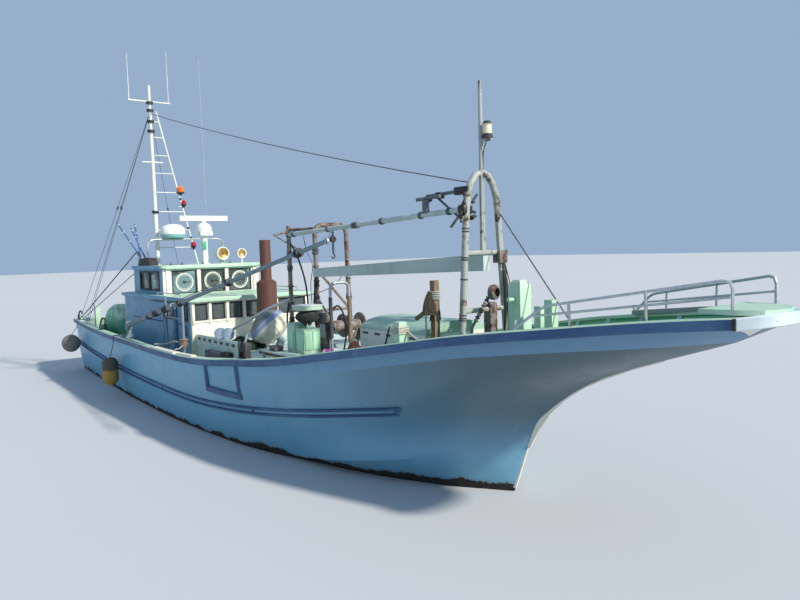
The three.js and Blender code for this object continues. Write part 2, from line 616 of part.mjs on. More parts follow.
function foreFrame() {
  const { x, foot, shoulder, shoulderTop, apex } = A_FRAME;
  const deckZ = foreDeck(x) - 40;
  const legs = onDeck(tube([[x, -foot, deckZ], [x, -shoulder, shoulderTop],
    ...[0.25, 0.5, 0.75].map((t) => [x, -shoulder * Math.cos(t * Math.PI / 2),
      shoulderTop + (apex - shoulderTop) * Math.sin(t * Math.PI / 2)]),
    [x, 0, apex],
    ...[0.75, 0.5, 0.25].map((t) => [x, shoulder * Math.cos(t * Math.PI / 2),
      shoulderTop + (apex - shoulderTop) * Math.sin(t * Math.PI / 2)]),
    [x, shoulder, shoulderTop], [x, foot, deckZ]], 48, 10));
  const bars = [[3210, 345], [2430, 415]].map(([z, y]) => rod([x, -y, z], [x, y, z], 36, 8));
  const pole = rod([x, 0, 3210], [x, 0, 5520], 40, 10, 26);
  const bracket = block([x, x + 200], [-15, 15], [4700, 4740]);
  return join(legs, ...bars, pole, bracket);
}

const lantern = () => turned([[0, 0], [75, 0], [75, 30], [62, 40], [62, 170], [75, 180], [40, 225],
  [0, 225]], [A_FRAME.x + 125, 0, 4740 + GAP], [A_FRAME.x + 125, 0, 5000], 14);

// What is left of a beam between two frames, a gap away from both
const betweenFrames = (beam, frames) => frames.reduce((piece, frame) =>
  clearOf(piece, frame, [0, 0, 0], [GAP, 0, 0], [-GAP, 0, 0]), beam);

const UPPER_BEAM = { aft: [3200, -600, 3600], fore: [7500, -310, 3800] };
const NET_BEAM = { aft: [3800, -420, 2920], fore: [7500, 60, 3075] };
function upperBeam(frames) {
  const beam = rod(UPPER_BEAM.aft, UPPER_BEAM.fore, 38, 10);
  const rollerFoot = block([6700, 6800], [-420, -300], [3800, 4020]);
  const roller = rod([6560, -372, 3985], [7020, -335, 4010], 26, 8);
  return betweenFrames(join(beam, rollerFoot, roller), frames);
}
function netBeam(frames) {
  const end = ([x, y, z], depth) => [[x, y - 60, z - depth / 2], [x, y + 60, z - depth / 2],
    [x, y + 60, z + depth / 2], [x, y - 60, z + depth / 2]];
  const beam = skin([end(NET_BEAM.aft, 150), end(NET_BEAM.fore, 230)]);
  return betweenFrames(beam, frames);
}

// Foredeck pieces
function trunk() {
  const [aft, fore, side, shoulder] = [5350, 6950, 600, 2080];
  const arch = Array.from({ length: 9 }, (_, k) => {
    const angle = (Math.PI * k) / 8;
    return [side * Math.cos(angle), shoulder + 170 * Math.sin(angle)];
  });
  return onDeck(lengthways([[-side, 1300], [side, 1300], ...arch], [aft, fore]));
}

function netPost() {
  const post = onDeck(block([7060, 7150], [-600, -510], [1600, 2850]));
  const brace = rod([7105, -555, 2520], [6700, -555, 2300], 32, 8);
  return clearOf(join(post, brace), trunk(), [GAP, 0, 0], [0, 0, GAP]);
}

function samsonPost() {
  const side = 105;
  const body = onDeck(block([8150 - side, 8150 + side], [-side, side], [1700, 2780]));
  const tip = skin([[2780, side], [2850, side - 50]].map(([z, s]) =>
    [[8150 - s, -s, z], [8150 + s, -s, z], [8150 + s, s, z], [8150 - s, s, z]]));
  const pin = rod([8150, -220, 2600], [8150, 220, 2600], 28, 10);
  const bitt = onDeck(block([8610, 8730], [-60, 60], [1800, 2610]));
  const bed = onDeck(sideways([[8000, foreDeck(8000) - 40], [8800, foreDeck(8800) - 40],
    [8800, foreDeck(8800) + 40], [8000, foreDeck(8000) + 40]], [-140, 140]));
  return join(body, tip, pin, bitt, bed);
}

const PLATFORM = { z: 2550 + CAP.height + GAP, thick: 50 };
function bowPlatform() {
  const front = Array.from({ length: 9 }, (_, k) => {
    const angle = -Math.PI / 2 + (Math.PI * k) / 8;
    return [11330 + 300 * Math.cos(angle), 400 * Math.sin(angle)];
  });
  return upright([[10850, 470], [10850, -470], [11200, -440], ...front, [11200, 440]],
    [PLATFORM.z, PLATFORM.z + PLATFORM.thick]);
}

function bowRail() {
  const foot = (x) => capTop(x) + GAP;
  const top = rounded([[9120, -1130, foot(9050) + 40], [9420, -1020, 2640], [11170, -440, 2925],
    [11170, -440, PLATFORM.z + PLATFORM.thick + GAP]], 90, 2);
  const middle = rod([9300, -1063, 2500 + 30], [11150, -448, 2760], 13, 6);
  const stanchions = [[9100, -1136, 2480, -1118], [9680, -920, 2690, -935], [10430, -680, 2815, -695]].map(
    ([x, y, z, head]) => clearOf(rod([x, y, foot(x) - 20], [x, head, z], 16, 8),
      sheerRailStarboard, [0, 0, GAP]));
  return join(tube(top, 17, 6), middle, ...stanchions);
}

// Outrigger boom, its pedestal and the posts that it lies against
const PEDESTAL_TOP = 1640;
function boomPedestal() {
  const [x, y] = BOOM.heel;
  const foot = capTop(x);
  const plate = block([x - 80, x + 80], [-2080, y + 70], [foot - 10, foot + 60]);
  return join(clearOf(plate, sheerRailStarboard, [0, 0, GAP]),
    rod([x, y, foot + 20], [x, y, PEDESTAL_TOP], 60, 14));
}
const boomAt = (share) => BOOM.heel.map((v, i) => v + share * (BOOM.tip[i] - v));
function outriggerBoom() {
  const [x, y] = BOOM.heel;
  return join(rod([x, y, PEDESTAL_TOP + GAP], [x, y, 1830], 75, 14),
    rod(BOOM.heel, boomAt(0.3), 55, 12), rod(boomAt(0.26), boomAt(0.32), 68, 12),
    rod(boomAt(0.3), BOOM.tip, 42, 12, 32));
}
function boomRest() {
  const foot = (x) => mainDeck(x) - 30;
  const fore = rod([650, -1655, foot(650)], [650, -1655, 2400], 28, 10);
  const aft = tube(rounded([[-450, -1600, foot(-450)], [-450, -1600, 2440]], 50), 28, 8);
  const tie = tube(rounded([[-450, -1600, 1100], [0, -1620, 1040], [650, -1655, 1040]], 120), 22, 8);
  const bars = rod([-450, -1600, 2000], [650, -1655, 2000], 18, 8);
  return onDeck(join(fore, aft, tie, bars));
}

// Mast, ladder and gear on the wheelhouse roof
const CROSS_ARM = 7150;
function mainMast() {
  const { x, y, top } = MAST;
  const foot = ROOF_TOP + GAP;
  const pole = rod([x, y, foot], [x, y, top], 55, 12, 34);
  const plate = block([x - 70, x + 110], [y - 110, y + 110], [foot, foot + 15]);
  const arm = rod([x, y - 520, CROSS_ARM], [x, y + 520, CROSS_ARM], 20, 8);
  const whips = [[-500, 8250], [480, 8450]].map(([dy, z]) =>
    rod([x, y + dy, CROSS_ARM], [x, y + dy, z], 12, 6, 6));
  const lower = rod([x, y - 260, 5650], [x, y + 260, 5650], 20, 8);
  return join(pole, plate, arm, ...whips, lower);
}

const onRoof = (piece) =>
  cut(piece, block([-4200, -1300], [-1500, 1500], [2800, ROOF_TOP + GAP]));
function mastLadder() {
  const { x, y } = MAST;
  const front = x - 95;
  const foot = ROOF_TOP + GAP;
  const [head, spread] = [6150, 900];
  const stile = rod([front, y + 30, foot], [front, y + 30, head], 20, 8);
  const slantedStile = rod([front, y + 45 + spread, foot - 50], [front, y + 60, head], 20, 8);
  const rungs = Array.from({ length: 9 }, (_, k) => {
    const z = foot + 260 + k * 300;
    const reach = spread * (1 - (z - foot) / (head - foot));
    return rod([front, y + 30, z], [front, y + 30 + reach + 20, z], 12, 6);
  });
  const tie = clearOf(rod([front, y + 30, head - 300], [x, y + 4, head - 300], 14, 6),
    mainMastPiece, [0, 0, 0], [-GAP, 0, 0]);
  return onRoof(join(stile, slantedStile, ...rungs, tie));
}

const ARCH = { x: -3200, side: 1000, top: 3700, tube: 24 };
function roofArch() {
  const { x, side, top } = ARCH;
  const foot = ROOF_TOP + GAP;
  const corners = [[x, -side, foot], [x, -side, top], [x, side, top], [x, side, foot]];
  const hoop = tube(rounded(corners, 200), ARCH.tube, 8);
  const whipFoot = rod([x, 560, top], [x, 560, top + 200], 26, 10);
  const whip = rod([x, 560, top + 180], [x, 560, 8300], 12, 8, 5);
  return join(hoop, whipFoot, whip);
}
function radome() {
  const low = ARCH.top + ARCH.tube + GAP;
  return turned([[0, 0], [250, 0], [300, 40], [310, 130], [295, 250], [210, 330], [80, 362], [0, 365]],
    [ARCH.x, -340, low], [ARCH.x, -340, low + 1], 24);
}

const RADAR = { x: -1950, y: -40, gearTop: 4060 };
function radarPedestal() {
  const { x, y, gearTop } = RADAR;
  const foot = ROOF_TOP + GAP;
  return turned([[0, 0], [150, 0], [150, 20], [75, 40], [75, 660], [150, 700], [185, 780], [185, 880],
    [140, 960], [60, gearTop - foot], [0, gearTop - foot]], [x, y, foot], [x, y, foot + 1], 20);
}
function radarScanner() {
  const { x, y, gearTop } = RADAR;
  const hub = rod([x, y, gearTop + GAP], [x, y, gearTop + 60], 55, 14);
  const bar = block([x - 55, x + 55], [y - 600, y + 600], [gearTop + 45, gearTop + 165]);
  return join(hub, bar);
}

function searchlight() {
  const { x, y, foot } = LIGHT;
  const yoke = rod([x, y, foot + GAP], [x, y, foot + 40], 40, 12);
  const drum = turned([[0, 0], [110, 0], [150, 60], [150, 200], [0, 200]],
    [x - 90, y, 3310], [x, y, 3310], 20);
  return join(yoke, drum);
}

// Aft deck
const HATCH = { aft: -6450, fore: -5350, half: 480, top: 1150 };
function hatchCoaming() {
  const outer = block([HATCH.aft, HATCH.fore], [-HATCH.half, HATCH.half], [800, HATCH.top]);
  const inner = block([HATCH.aft + WALL, HATCH.fore - WALL], [-HATCH.half + WALL, HATCH.half - WALL],
    [500, HATCH.top + 50]);
  return onDeck(cut(outer, inner));
}
const HATCH_PIN = { x: HATCH.fore + 15, z: HATCH.top + 25 };
function hatchLid() {
  const lid = block([HATCH.aft - 20, HATCH.fore], [-HATCH.half - 20, HATCH.half + 20],
    [HATCH.top + GAP, HATCH.top + 50]);
  const knuckles = [-320, 320].map((y) =>
    rod([HATCH_PIN.x, y - 60, HATCH_PIN.z], [HATCH_PIN.x, y + 60, HATCH_PIN.z], 20, 12));
  return join(lid, ...knuckles);
}

function haulerCover() {
  const [aft, fore] = [-6800, -4900];
  const top = (x) => 1960 + 70 * Math.sin((Math.PI * (x - aft)) / (fore - aft));
  const sections = Array.from({ length: 7 }, (_, k) => {
    const x = aft + ((fore - aft) * k) / 6;
    const [low, high] = [mainDeck(x) + GAP, top(x)];
    return [[x, -1600, low], [x, -700, low], [x, -760, high - 260], [x, -900, high - 60],
      [x, -1150, high], [x, -1400, high - 60], [x, -1540, high - 260]];
  });
  return skin(sections);
}

function sparBundle() {
  const roofEdge = HOUSE.aft - 60;
  const [foot, touch] = [[-4700, -300, mainDeck(-4700) - 40], [roofEdge - 31, -740, HOUSE.top + ROOF]];
  const at = (t, offset) => foot.map((v, i) => v + t * (touch[i] - v) + offset[i]);
  const poles = [[0, 0, 2.45], [-60, -30, 2.3], [-60, 40, 2.15]].map(([dx, dy, length]) =>
    onDeck(rod(at(0, [dx, dy, 0]), at(length, [dx, dy, 0]), 27, 6)));
  const bindings = [0.3, 0.75].map((t) => rod(at(t, [-38, 5, 0]), at(t + 0.03, [-38, 5, 0]), 66, 8));
  return join(...poles, ...bindings);
}

// Fenders on their ropes
function fender({ x, radius, low, high, round }) {
  const [z, reach] = [(low + high) / 2, STRIP.proud + radius + GAP];
  const y = -Math.max(halfBreadth(x, z), halfBreadth(x, high)) - reach;
  const body = round
    ? turned(Array.from({ length: 13 }, (_, k) => {
      const angle = (Math.PI * k) / 12;
      return [radius * Math.sin(angle), radius - radius * Math.cos(angle)];
    }), [x, y, low], [x, y, high], 20)
    : turned([[0, 0], [radius * 0.6, 0], [radius, radius * 0.5], [radius, high - low - radius * 0.5],
      [radius * 0.6, high - low], [0, high - low]], [x, y, low], [x, y, high], 20);
  const [, rim, edge] = sheer(x);
  const outside = -rim - CAP.outside - 14;
  const over = edge + CAP.height + 4;
  const rope = tube(rounded([[x, y, high - 40], [x, outside, edge - GUARD_DEPTH - 30],
    [x, outside, over], [x, -rim + CAP.inside - 20, over]], 20, 3), 9, 6);
  return join(body, clearOf(rope, sheerRailStarboard, [0, 0, GAP]));
}

// Stay from the mast to the head of the fore frame
function mainStay(ends) {
  const [from, to] = [[MAST.x + 30, MAST.y, 6850], [A_FRAME.x - 20, -150, 4150]];
  const points = Array.from({ length: 9 }, (_, k) => {
    const t = k / 8;
    return from.map((v, i) => v + t * (to[i] - v) - (i === 2 ? 400 * t * (1 - t) : 0));
  });
  return betweenFrames(tube(points, 9, 6), ends);
}

const sheerRailStarboard = sheerRail();
const mainMastPiece = mainMast();
const gantryPiece = gantry();
const foreFramePiece = foreFrame();

// Finishes. Columns: colour, roughness, metalness.
const FINISHES = {
  hull_blue: [0x5f93ae, 0.55, 0],
  trim_blue: [0x3d5a9a, 0.5, 0],
  mint: [0xcfe9cf, 0.6, 0],
  white: [0xe8ece6, 0.5, 0],
  deck_green: [0x4f9f6f, 0.7, 0],
  rust: [0x9c4f2c, 0.85, 0.2],
  grey_steel: [0x7fa3ad, 0.6, 0.3],
  dark_steel: [0x4a4038, 0.7, 0.4],
  galvanised: [0xb4bcbc, 0.5, 0.7],
  timber: [0x8a6a4e, 0.85, 0],
  bronze: [0xa9853e, 0.4, 0.8],
  rubber: [0x5b5a4a, 0.8, 0],
  tarpaulin: [0x3f8f6a, 0.8, 0],
};

const trawler = new THREE.Group();
function add(name, finish, geometry) {
  const [color, roughness, metalness] = FINISHES[finish];
  const mesh = new THREE.Mesh(geometry, new THREE.MeshStandardMaterial({ color, roughness, metalness }));
  mesh.name = name;
  trawler.add(mesh);
}
function addPair(name, finish, geometry) {
  add(`${name}_starboard`, finish, geometry);
  add(`${name}_port`, finish, mirrored(geometry));
}

add("hull", "hull_blue", hull);
add("keel_skeg", "trim_blue", keelSkeg());
add("rudder", "trim_blue", rudder());
add("propeller", "bronze", propeller());
addPair("bulwark", "hull_blue", bulwark);
addPair("sheer_rail", "trim_blue", sheerRailStarboard);
addPair("side_guard", "trim_blue", sideGuard());
add("bow_platform", "white", bowPlatform());
add("stern_bitts", "mint", sternBitts());
add("cabin_front", "white", houseFront());
add("cabin_back", "white", houseBack());
addPair("cabin_side", "white", houseSide());
addPair("cabin_door", "white", cabinDoor());
add("cabin_roof", "mint", houseRoof());
add("wheelhouse_front", "mint", wheelhouseFront());
add("wheelhouse_back", "mint", wheelhouseBack());
addPair("wheelhouse_side", "mint", wheelhouseSide());
add("wheelhouse_roof", "mint", wheelhouseRoof());
add("engine_casing", "mint", casing());
add("exhaust_stack", "rust", exhaustStack());
add("hauler_stand", "grey_steel", haulerStand());
add("hauler_drum", "white", haulerDrum());
add("winch_stand", "grey_steel", winchStand());
add("winch_drum", "rust", winchDrum());
add("electric_cabinets", "mint", cabinets());
add("aft_gantry", "dark_steel", gantryPiece);
add("upper_beam", "grey_steel", upperBeam([gantryPiece, foreFramePiece]));
add("net_beam", "grey_steel", netBeam([gantryPiece, foreFramePiece]));
add("fore_frame", "dark_steel", foreFramePiece);
add("fore_lantern", "white", lantern());
add("foredeck_trunk", "mint", trunk());
add("net_post", "timber", netPost());
add("mooring_posts", "mint", samsonPost());
addPair("bow_rail", "galvanised", bowRail());
add("boom_pedestal", "grey_steel", boomPedestal());
add("outrigger_boom", "grey_steel", outriggerBoom());
add("boom_rest", "grey_steel", boomRest());
add("main_mast", "white", mainMastPiece);
add("mast_ladder", "white", mastLadder());
add("roof_arch", "galvanised", roofArch());
add("radome", "white", radome());
add("radar_pedestal", "white", radarPedestal());
add("radar_scanner", "white", radarScanner());
add("searchlight", "white", searchlight());
add("hatch_coaming", "mint", hatchCoaming());
add("hatch_lid", "mint", hatchLid());
add("hauler_cover", "tarpaulin", haulerCover());
add("spar_bundle", "timber", sparBundle());
add("round_fender", "rubber", fender({ x: -7200, radius: 250, low: 620, high: 1120, round: true }));
add("long_fender", "rubber", fender({ x: -2560, radius: 180, low: 350, high: 960, round: false }));
add("main_stay", "dark_steel", mainStay([mainMastPiece, foreFramePiece]));

export default trawler;
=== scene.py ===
import math
import random

import bmesh
import bpy
from mathutils import Matrix, Vector


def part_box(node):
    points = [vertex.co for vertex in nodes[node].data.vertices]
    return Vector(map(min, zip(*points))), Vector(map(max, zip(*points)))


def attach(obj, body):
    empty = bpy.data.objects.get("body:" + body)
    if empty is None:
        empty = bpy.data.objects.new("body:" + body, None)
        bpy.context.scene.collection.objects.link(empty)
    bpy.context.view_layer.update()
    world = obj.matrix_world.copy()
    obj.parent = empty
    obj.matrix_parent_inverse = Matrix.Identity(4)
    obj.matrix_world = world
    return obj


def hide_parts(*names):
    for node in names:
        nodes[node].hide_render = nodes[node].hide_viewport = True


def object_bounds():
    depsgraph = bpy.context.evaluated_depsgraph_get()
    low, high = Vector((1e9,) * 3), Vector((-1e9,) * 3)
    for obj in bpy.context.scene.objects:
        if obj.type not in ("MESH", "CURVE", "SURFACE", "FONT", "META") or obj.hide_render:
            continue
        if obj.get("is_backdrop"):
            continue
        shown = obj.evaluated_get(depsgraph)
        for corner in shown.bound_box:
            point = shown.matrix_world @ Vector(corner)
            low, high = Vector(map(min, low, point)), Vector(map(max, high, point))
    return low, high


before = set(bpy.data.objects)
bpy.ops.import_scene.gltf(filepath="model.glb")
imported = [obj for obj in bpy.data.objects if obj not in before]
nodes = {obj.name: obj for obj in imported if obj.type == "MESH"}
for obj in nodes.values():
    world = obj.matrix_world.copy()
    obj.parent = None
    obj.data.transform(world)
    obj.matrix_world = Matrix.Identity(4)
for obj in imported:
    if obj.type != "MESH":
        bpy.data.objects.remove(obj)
cad_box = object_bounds()

# Camera: a pinhole fitted to the photograph, from the starboard bow
FOCAL_PX, PICTURE_WIDTH, HORIZON_ABOVE_MIDDLE_PX, SENSOR = 700, 800, 51.5, 36
HEADING, ROLL = math.radians(52), math.radians(1.7)
PITCH = math.atan(HORIZON_ABOVE_MIDDLE_PX / FOCAL_PX)
EYE = Vector((14.352, -6.821, 3.3))

# Driving dimensions, in metres, as in the solids
UP, AHEAD, PORT = (0, 0, 1), (1, 0, 0), (0, 1, 0)
BULWARK = .08
CAP_INSIDE, CAP_OUTSIDE, CAP_HEIGHT, GUARD_DEPTH, CAP_FORE = .11, .06, .04, .08, 11.26
STEP_X, WELL_AFT, WELL_FORE = 5.25, -8.05, 10.9
HOUSE_AFT, HOUSE_FORE, HOUSE_HALF, HOUSE_TOP = -4, .4, 1.38, 2.33
WHEEL_AFT, WHEEL_FORE, WHEEL_HALF, WHEEL_TOP = -3.73, -1.65, 1.2, 3
ROOF_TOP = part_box("wheelhouse_roof")[0].z + .06
CASING_FORE, CASING_HALF, CASING_TOP = 4.35, 1.3, 1.5
FRAME_X, MAST_X, MAST_Y = 7.5, -3.5, -.65
HULL_STATIONS = 150

# Hull rows from the transom to the stem. Columns: x, half-breadth, z.
ROWS = {
    "keel": [(-7.9, 0, -.35), (-4, 0, -.6), (0, 0, -.75), (4, 0, -.85), (6.5, 0, -.85), (7.3, 0, -.65),
             (7.75, 0, -.3), (8, 0, 0), (8.25, 0, .65)],
    "chine": [(-8, 1.45, -.1), (-4, 1.68, -.18), (0, 1.8, -.2), (3, 1.69, -.1), (4.6, 1.48, .05),
              (6, 1.32, .25), (7, .96, .42), (7.7, .52, .54), (8.28, 0, .66)],
    "bilge": [(-8.04, 1.52, .25), (-4, 1.79, .22), (0, 1.92, .2), (3, 1.87, .33), (5, 1.6, .56),
              (6.5, 1.22, .76), (7.5, .76, .93), (8.62, 0, 1.17)],
    "flare": [(-8.08, 1.57, .7), (-4, 1.9, .7), (0, 2.03, .7), (3, 1.98, .85), (5, 1.74, 1.02),
              (6.5, 1.45, 1.19), (7.5, 1.17, 1.33), (8.5, .68, 1.52), (9.45, 0, 1.72)],
    "knuckle": [(-8.13, 1.59, 1.2), (-6, 1.85, 1.235), (-3.76, 1.985, 1.19), (-1.34, 2.06, 1.17),
                (.7, 2.075, 1.145), (2.4, 2.04, 1.18), (4.1, 1.94, 1.33), (5, 1.86, 1.43),
                (6, 1.7, 1.59), (6.9, 1.55, 1.74), (8.18, 1.26, 1.965), (8.85, 1.06, 2.05),
                (9.5, .83, 2.125), (10.4, .42, 2.215), (11, 0, 2.28)],
    "sheer": [(-8.15, 1.6, 1.46), (-6, 1.88, 1.48), (-3.76, 2.01, 1.44), (-1.34, 2.08, 1.42),
              (.7, 2.09, 1.395), (2.4, 2.06, 1.43), (4.1, 1.97, 1.58), (5, 1.9, 1.68), (6, 1.77, 1.84),
              (6.9, 1.63, 1.99), (7.5, 1.51, 2.09), (8.18, 1.36, 2.205), (8.85, 1.19, 2.295),
              (9.5, 1, 2.37), (10.4, .72, 2.47), (11.2, .45, 2.535), (11.52, .32, 2.55)],
}
MAIN_DECK = [(-8.3, .85), (STEP_X, .8)]
FOREDECK = [(STEP_X, 1.4), (6.9, 1.7), (8, 1.895), (9.5, 2.15), (11.7, 2.42)]


# Curves and the hull's form
def smooth(table, x):
    """The other columns of a table at x, on a smooth curve through its rows."""
    last = len(table) - 1
    i = 0
    while i < last - 1 and x > table[i + 1][0]:
        i += 1
    p, q = table[i], table[i + 1]
    width = q[0] - p[0]
    t = min(max((x - p[0]) / width, 0), 1)

    def slope(k, column):
        low, high = table[max(k - 1, 0)], table[min(k + 1, last)]
        return (high[column] - low[column]) / (high[0] - low[0])

    result = []
    for c in range(1, len(p)):
        m0, m1 = slope(i, c) * width, slope(i + 1, c) * width
        result.append((2 * t**3 - 3 * t**2 + 1) * p[c] + (t**3 - 2 * t**2 + t) * m0
                      + (3 * t**2 - 2 * t**3) * q[c] + (t**3 - t**2) * m1)
    return result


def straight(table, x):
    i = 0
    while i < len(table) - 2 and x > table[i + 1][0]:
        i += 1
    (x0, z0), (x1, z1) = table[i], table[i + 1]
    return z0 + (x - x0) * (z1 - z0) / (x1 - x0)


def row_point(name, x):
    table = ROWS[name]
    x = min(max(x, table[0][0]), table[-1][0])
    y, z = smooth(table, x)
    return Vector((x, max(y, 0), z))


def deck_z(x):
    return straight(MAIN_DECK if x < STEP_X else FOREDECK, x)


def deck_foot(x):
    """Height of what a fitting on the middle of the boat stands on."""
    return CASING_TOP if HOUSE_FORE < x < CASING_FORE else deck_z(x)


def cap_top(x):
    return row_point("sheer", x).z + CAP_HEIGHT


def through(a, b, c, d, t):
    """The point at t between b and c on a smooth curve through four points."""
    return .5 * (2 * b + (c - a) * t + (2 * a - 5 * b + 4 * c - d) * t**2
                  + (3 * b - a - 3 * c + d) * t**3)


def side_line(points):
    """One side of a section, from the sheer to the keel, through the rows' points that it has."""
    names = [n for n in ("knuckle", "flare", "bilge", "chine") if n in points]
    body = [points[n] for n in names]
    line = [points["sheer"].lerp(body[0], k / 3) for k in range(3)] if body else [points["sheer"]]
    if len(body) > 1:
        padded = [body[0] * 2 - body[1], *body, body[-1] * 2 - body[-2]]
        for a, b, c, d in zip(padded, padded[1:], padded[2:], padded[3:]):
            line += [through(a, b, c, d, k / 6) for k in range(6)]
    if body and "keel" in points:
        line += [body[-1].lerp(points["keel"], k / 5) for k in range(6)]
    elif body:
        line.append(body[-1])
    return line


def half_breadth(x, z):
    """Half-breadth of the hull at x and z."""
    line = side_line({n: row_point(n, x) for n in ROWS if ROWS[n][-1][0] >= x})
    for high, low in zip(line, line[1:]):
        if low.z <= z <= high.z:
            return low.y + (high.y - low.y) * (z - low.z) / max(high.z - low.z, 1e-6)
    return line[0].y if z > line[0].z else line[-1].y


def rounded(points, bend, steps=5):
    """A polyline with its inner corners rounded."""
    path = [Vector(p) for p in points]
    result = [path[0]]
    for before, corner, after in zip(path, path[1:], path[2:]):
        reach = min(bend, (before - corner).length / 2, (after - corner).length / 2)
        a = corner + (before - corner).normalized() * reach
        c = corner + (after - corner).normalized() * reach
        for k in range(steps + 1):
            t = k / steps
            result.append(a * (1 - t)**2 + corner * 2 * t * (1 - t) + c * t**2)
    return result + [path[-1]]


def curve_through(points, steps=6):
    """A smooth curve through points."""
    p = [Vector(q) for q in points]
    p = [p[0] * 2 - p[1], *p, p[-1] * 2 - p[-2]]
    result = []
    for a, b, c, d in zip(p, p[1:], p[2:], p[3:]):
        result += [through(a, b, c, d, k / steps) for k in range(steps)]
    return result + [p[-2]]


# Materials
class Nodes:
    """Adds nodes to one material and joins them."""

    def __init__(self, name):
        self.material = bpy.data.materials.new(name)
        self.material.use_nodes = True
        self.tree = self.material.node_tree
        self.tree.nodes.clear()
        self.shader = self.add("BsdfPrincipled")
        self.tree.links.new(self.shader.outputs[0], self.add("OutputMaterial").inputs[0])
        self.place = self.add("TexCoord").outputs["Object"]

    def add(self, kind, inputs=(), **settings):
        """A new node with its settings, and its inputs by name or number."""
        node = self.tree.nodes.new("ShaderNode" + kind)
        for key, value in settings.items():
            setattr(node, key, value)
        for key, value in dict(inputs).items():
            self.put(node.inputs[key], value)
        return node

    def put(self, socket, value):
        if isinstance(value, bpy.types.NodeSocket):
            self.tree.links.new(value, socket)
        elif isinstance(value, tuple) and socket.type == "RGBA":
            socket.default_value = (*value, 1)
        else:
            socket.default_value = value

    def set(self, **inputs):
        for key, value in inputs.items():
            self.put(self.shader.inputs[key.replace("_", " ")], value)

    def noise(self, scale, stretch=(1, 1, 1), detail=5, roughness=.6):
        place = self.add("Mapping", {"Vector": self.place, "Scale": stretch}).outputs[0]
        return self.add("TexNoise", {"Vector": place, "Scale": scale, "Detail": detail,
                                     "Roughness": roughness}).outputs[0]

    def wave(self, scale, direction="X", distortion=0):
        return self.add("TexWave", {"Vector": self.place, "Scale": scale, "Distortion": distortion},
                        bands_direction=direction).outputs[1]

    def ramp(self, value, low, high, to_low=0, to_high=1):
        return self.add("MapRange", enumerate((value, low, high, to_low, to_high)),
                        interpolation_type="SMOOTHSTEP").outputs[0]

    def math(self, operation, a, b):
        """Arithmetic kept between 0 and 1, apart from a difference."""
        clamped = operation != "SUBTRACT"
        return self.add("Math", {0: a, 1: b}, operation=operation, use_clamp=clamped).outputs[0]

    def mix(self, factor, a, b):
        return self.add("Mix", {0: factor, 6: a, 7: b}, data_type="RGBA").outputs[2]

    def blend(self, factor, a, b):
        return self.add("Mix", {0: factor, 2: a, 3: b}, data_type="FLOAT").outputs[0]

    def axis(self, name):
        return self.add("SeparateXYZ", {0: self.place}).outputs[name]

    def edges(self, radius=.012):
        """High along the convex and concave edges."""
        soft = self.add("Bevel", {"Radius": radius}, samples=4).outputs[0]
        hard = self.add("NewGeometry").outputs["Normal"]
        dot = self.add("VectorMath", {0: soft, 1: hard}, operation="DOT_PRODUCT").outputs["Value"]
        return self.ramp(dot, .995, .86)

    def bump(self, height, strength, distance):
        inputs = {"Height": height, "Strength": strength, "Distance": distance}
        self.set(Normal=self.add("Bump", inputs).outputs[0])


RUST_DARK, RUST_MID, RUST_BRIGHT = (.045, .028, .02), (.13, .062, .035), (.26, .12, .055)


def rust_colour(n, scale=9):
    warm = n.mix(n.ramp(n.noise(scale * 1.7), .4, .62), RUST_MID, RUST_BRIGHT)
    return n.mix(n.ramp(n.noise(scale, detail=8), .42, .6), RUST_DARK, warm)


def painted(name, colour, shade, rough=.45, rust=.3, grime=.3, edge=.5, grime_colour=(.25, .24, .2)):
    """Weathered paint: patches of shade, streaks of dirt, rust spots and runs, worn edges."""
    n = Nodes(name)
    base = n.mix(n.ramp(n.noise(1.3, detail=3), .35, .68), colour, shade)
    streaks = n.ramp(n.noise(7, (1, 1, .09), detail=6), .52, .74, 0, grime)
    smudges = n.ramp(n.noise(3.1, detail=8, roughness=.7), .5, .8, 0, grime)
    base = n.mix(n.math("MAXIMUM", streaks, smudges), base, grime_colour)
    spots = n.ramp(n.noise(14, detail=7, roughness=.65), .64 - .06 * rust, .7)
    runs = n.math("MULTIPLY", n.ramp(n.noise(16, (1, 1, .1)), .58, .72),
                  n.ramp(n.noise(1.9, detail=4), .48, .66))
    rusty = n.math("MULTIPLY", n.math("MAXIMUM", spots, n.math("MULTIPLY", runs, .7)), rust)
    worn = n.math("MULTIPLY", n.math("MULTIPLY", n.edges(), n.ramp(n.noise(22, detail=6), .42, .6)), edge)
    mask = n.math("MAXIMUM", rusty, worn)
    n.set(Base_Color=n.mix(mask, base, rust_colour(n, 18)),
          Roughness=n.blend(mask, n.ramp(n.noise(5), .3, .7, rough - .06, rough + .12), .85))
    n.bump(n.blend(mask, n.noise(60, detail=3), n.noise(180, detail=5)), .18, .004)
    return n.material


def rusty(name, paint, share=.6, scale=8, tint=RUST_MID):
    """Steel that keeps a share of its old paint and is rusty elsewhere."""
    n = Nodes(name)
    left = n.ramp(n.noise(scale, detail=8, roughness=.68), .6 - .28 * share, .7 - .28 * share)
    rust = n.mix(n.ramp(n.noise(3), .35, .65, 0, .55), rust_colour(n, 14), tint)
    n.set(Base_Color=n.mix(left, rust, paint), Roughness=n.blend(left, .88, .5))
    n.bump(n.noise(90, detail=8, roughness=.7), .5, .006)
    return n.material


def plain(name, colour, shade, rough=.5, metal=0, scale=6, bump=.15, fine=120, grain=(1, 1, 1)):
    """A surface with soft changes of shade, gloss and grain."""
    n = Nodes(name)
    n.set(Base_Color=n.mix(n.ramp(n.noise(scale, grain, detail=6), .35, .68), colour, shade),
          Roughness=n.ramp(n.noise(scale * 2.3, grain), .3, .7, rough - .1, rough + .12), Metallic=metal)
    n.bump(n.noise(fine, grain, detail=4), bump, .003)
    return n.material


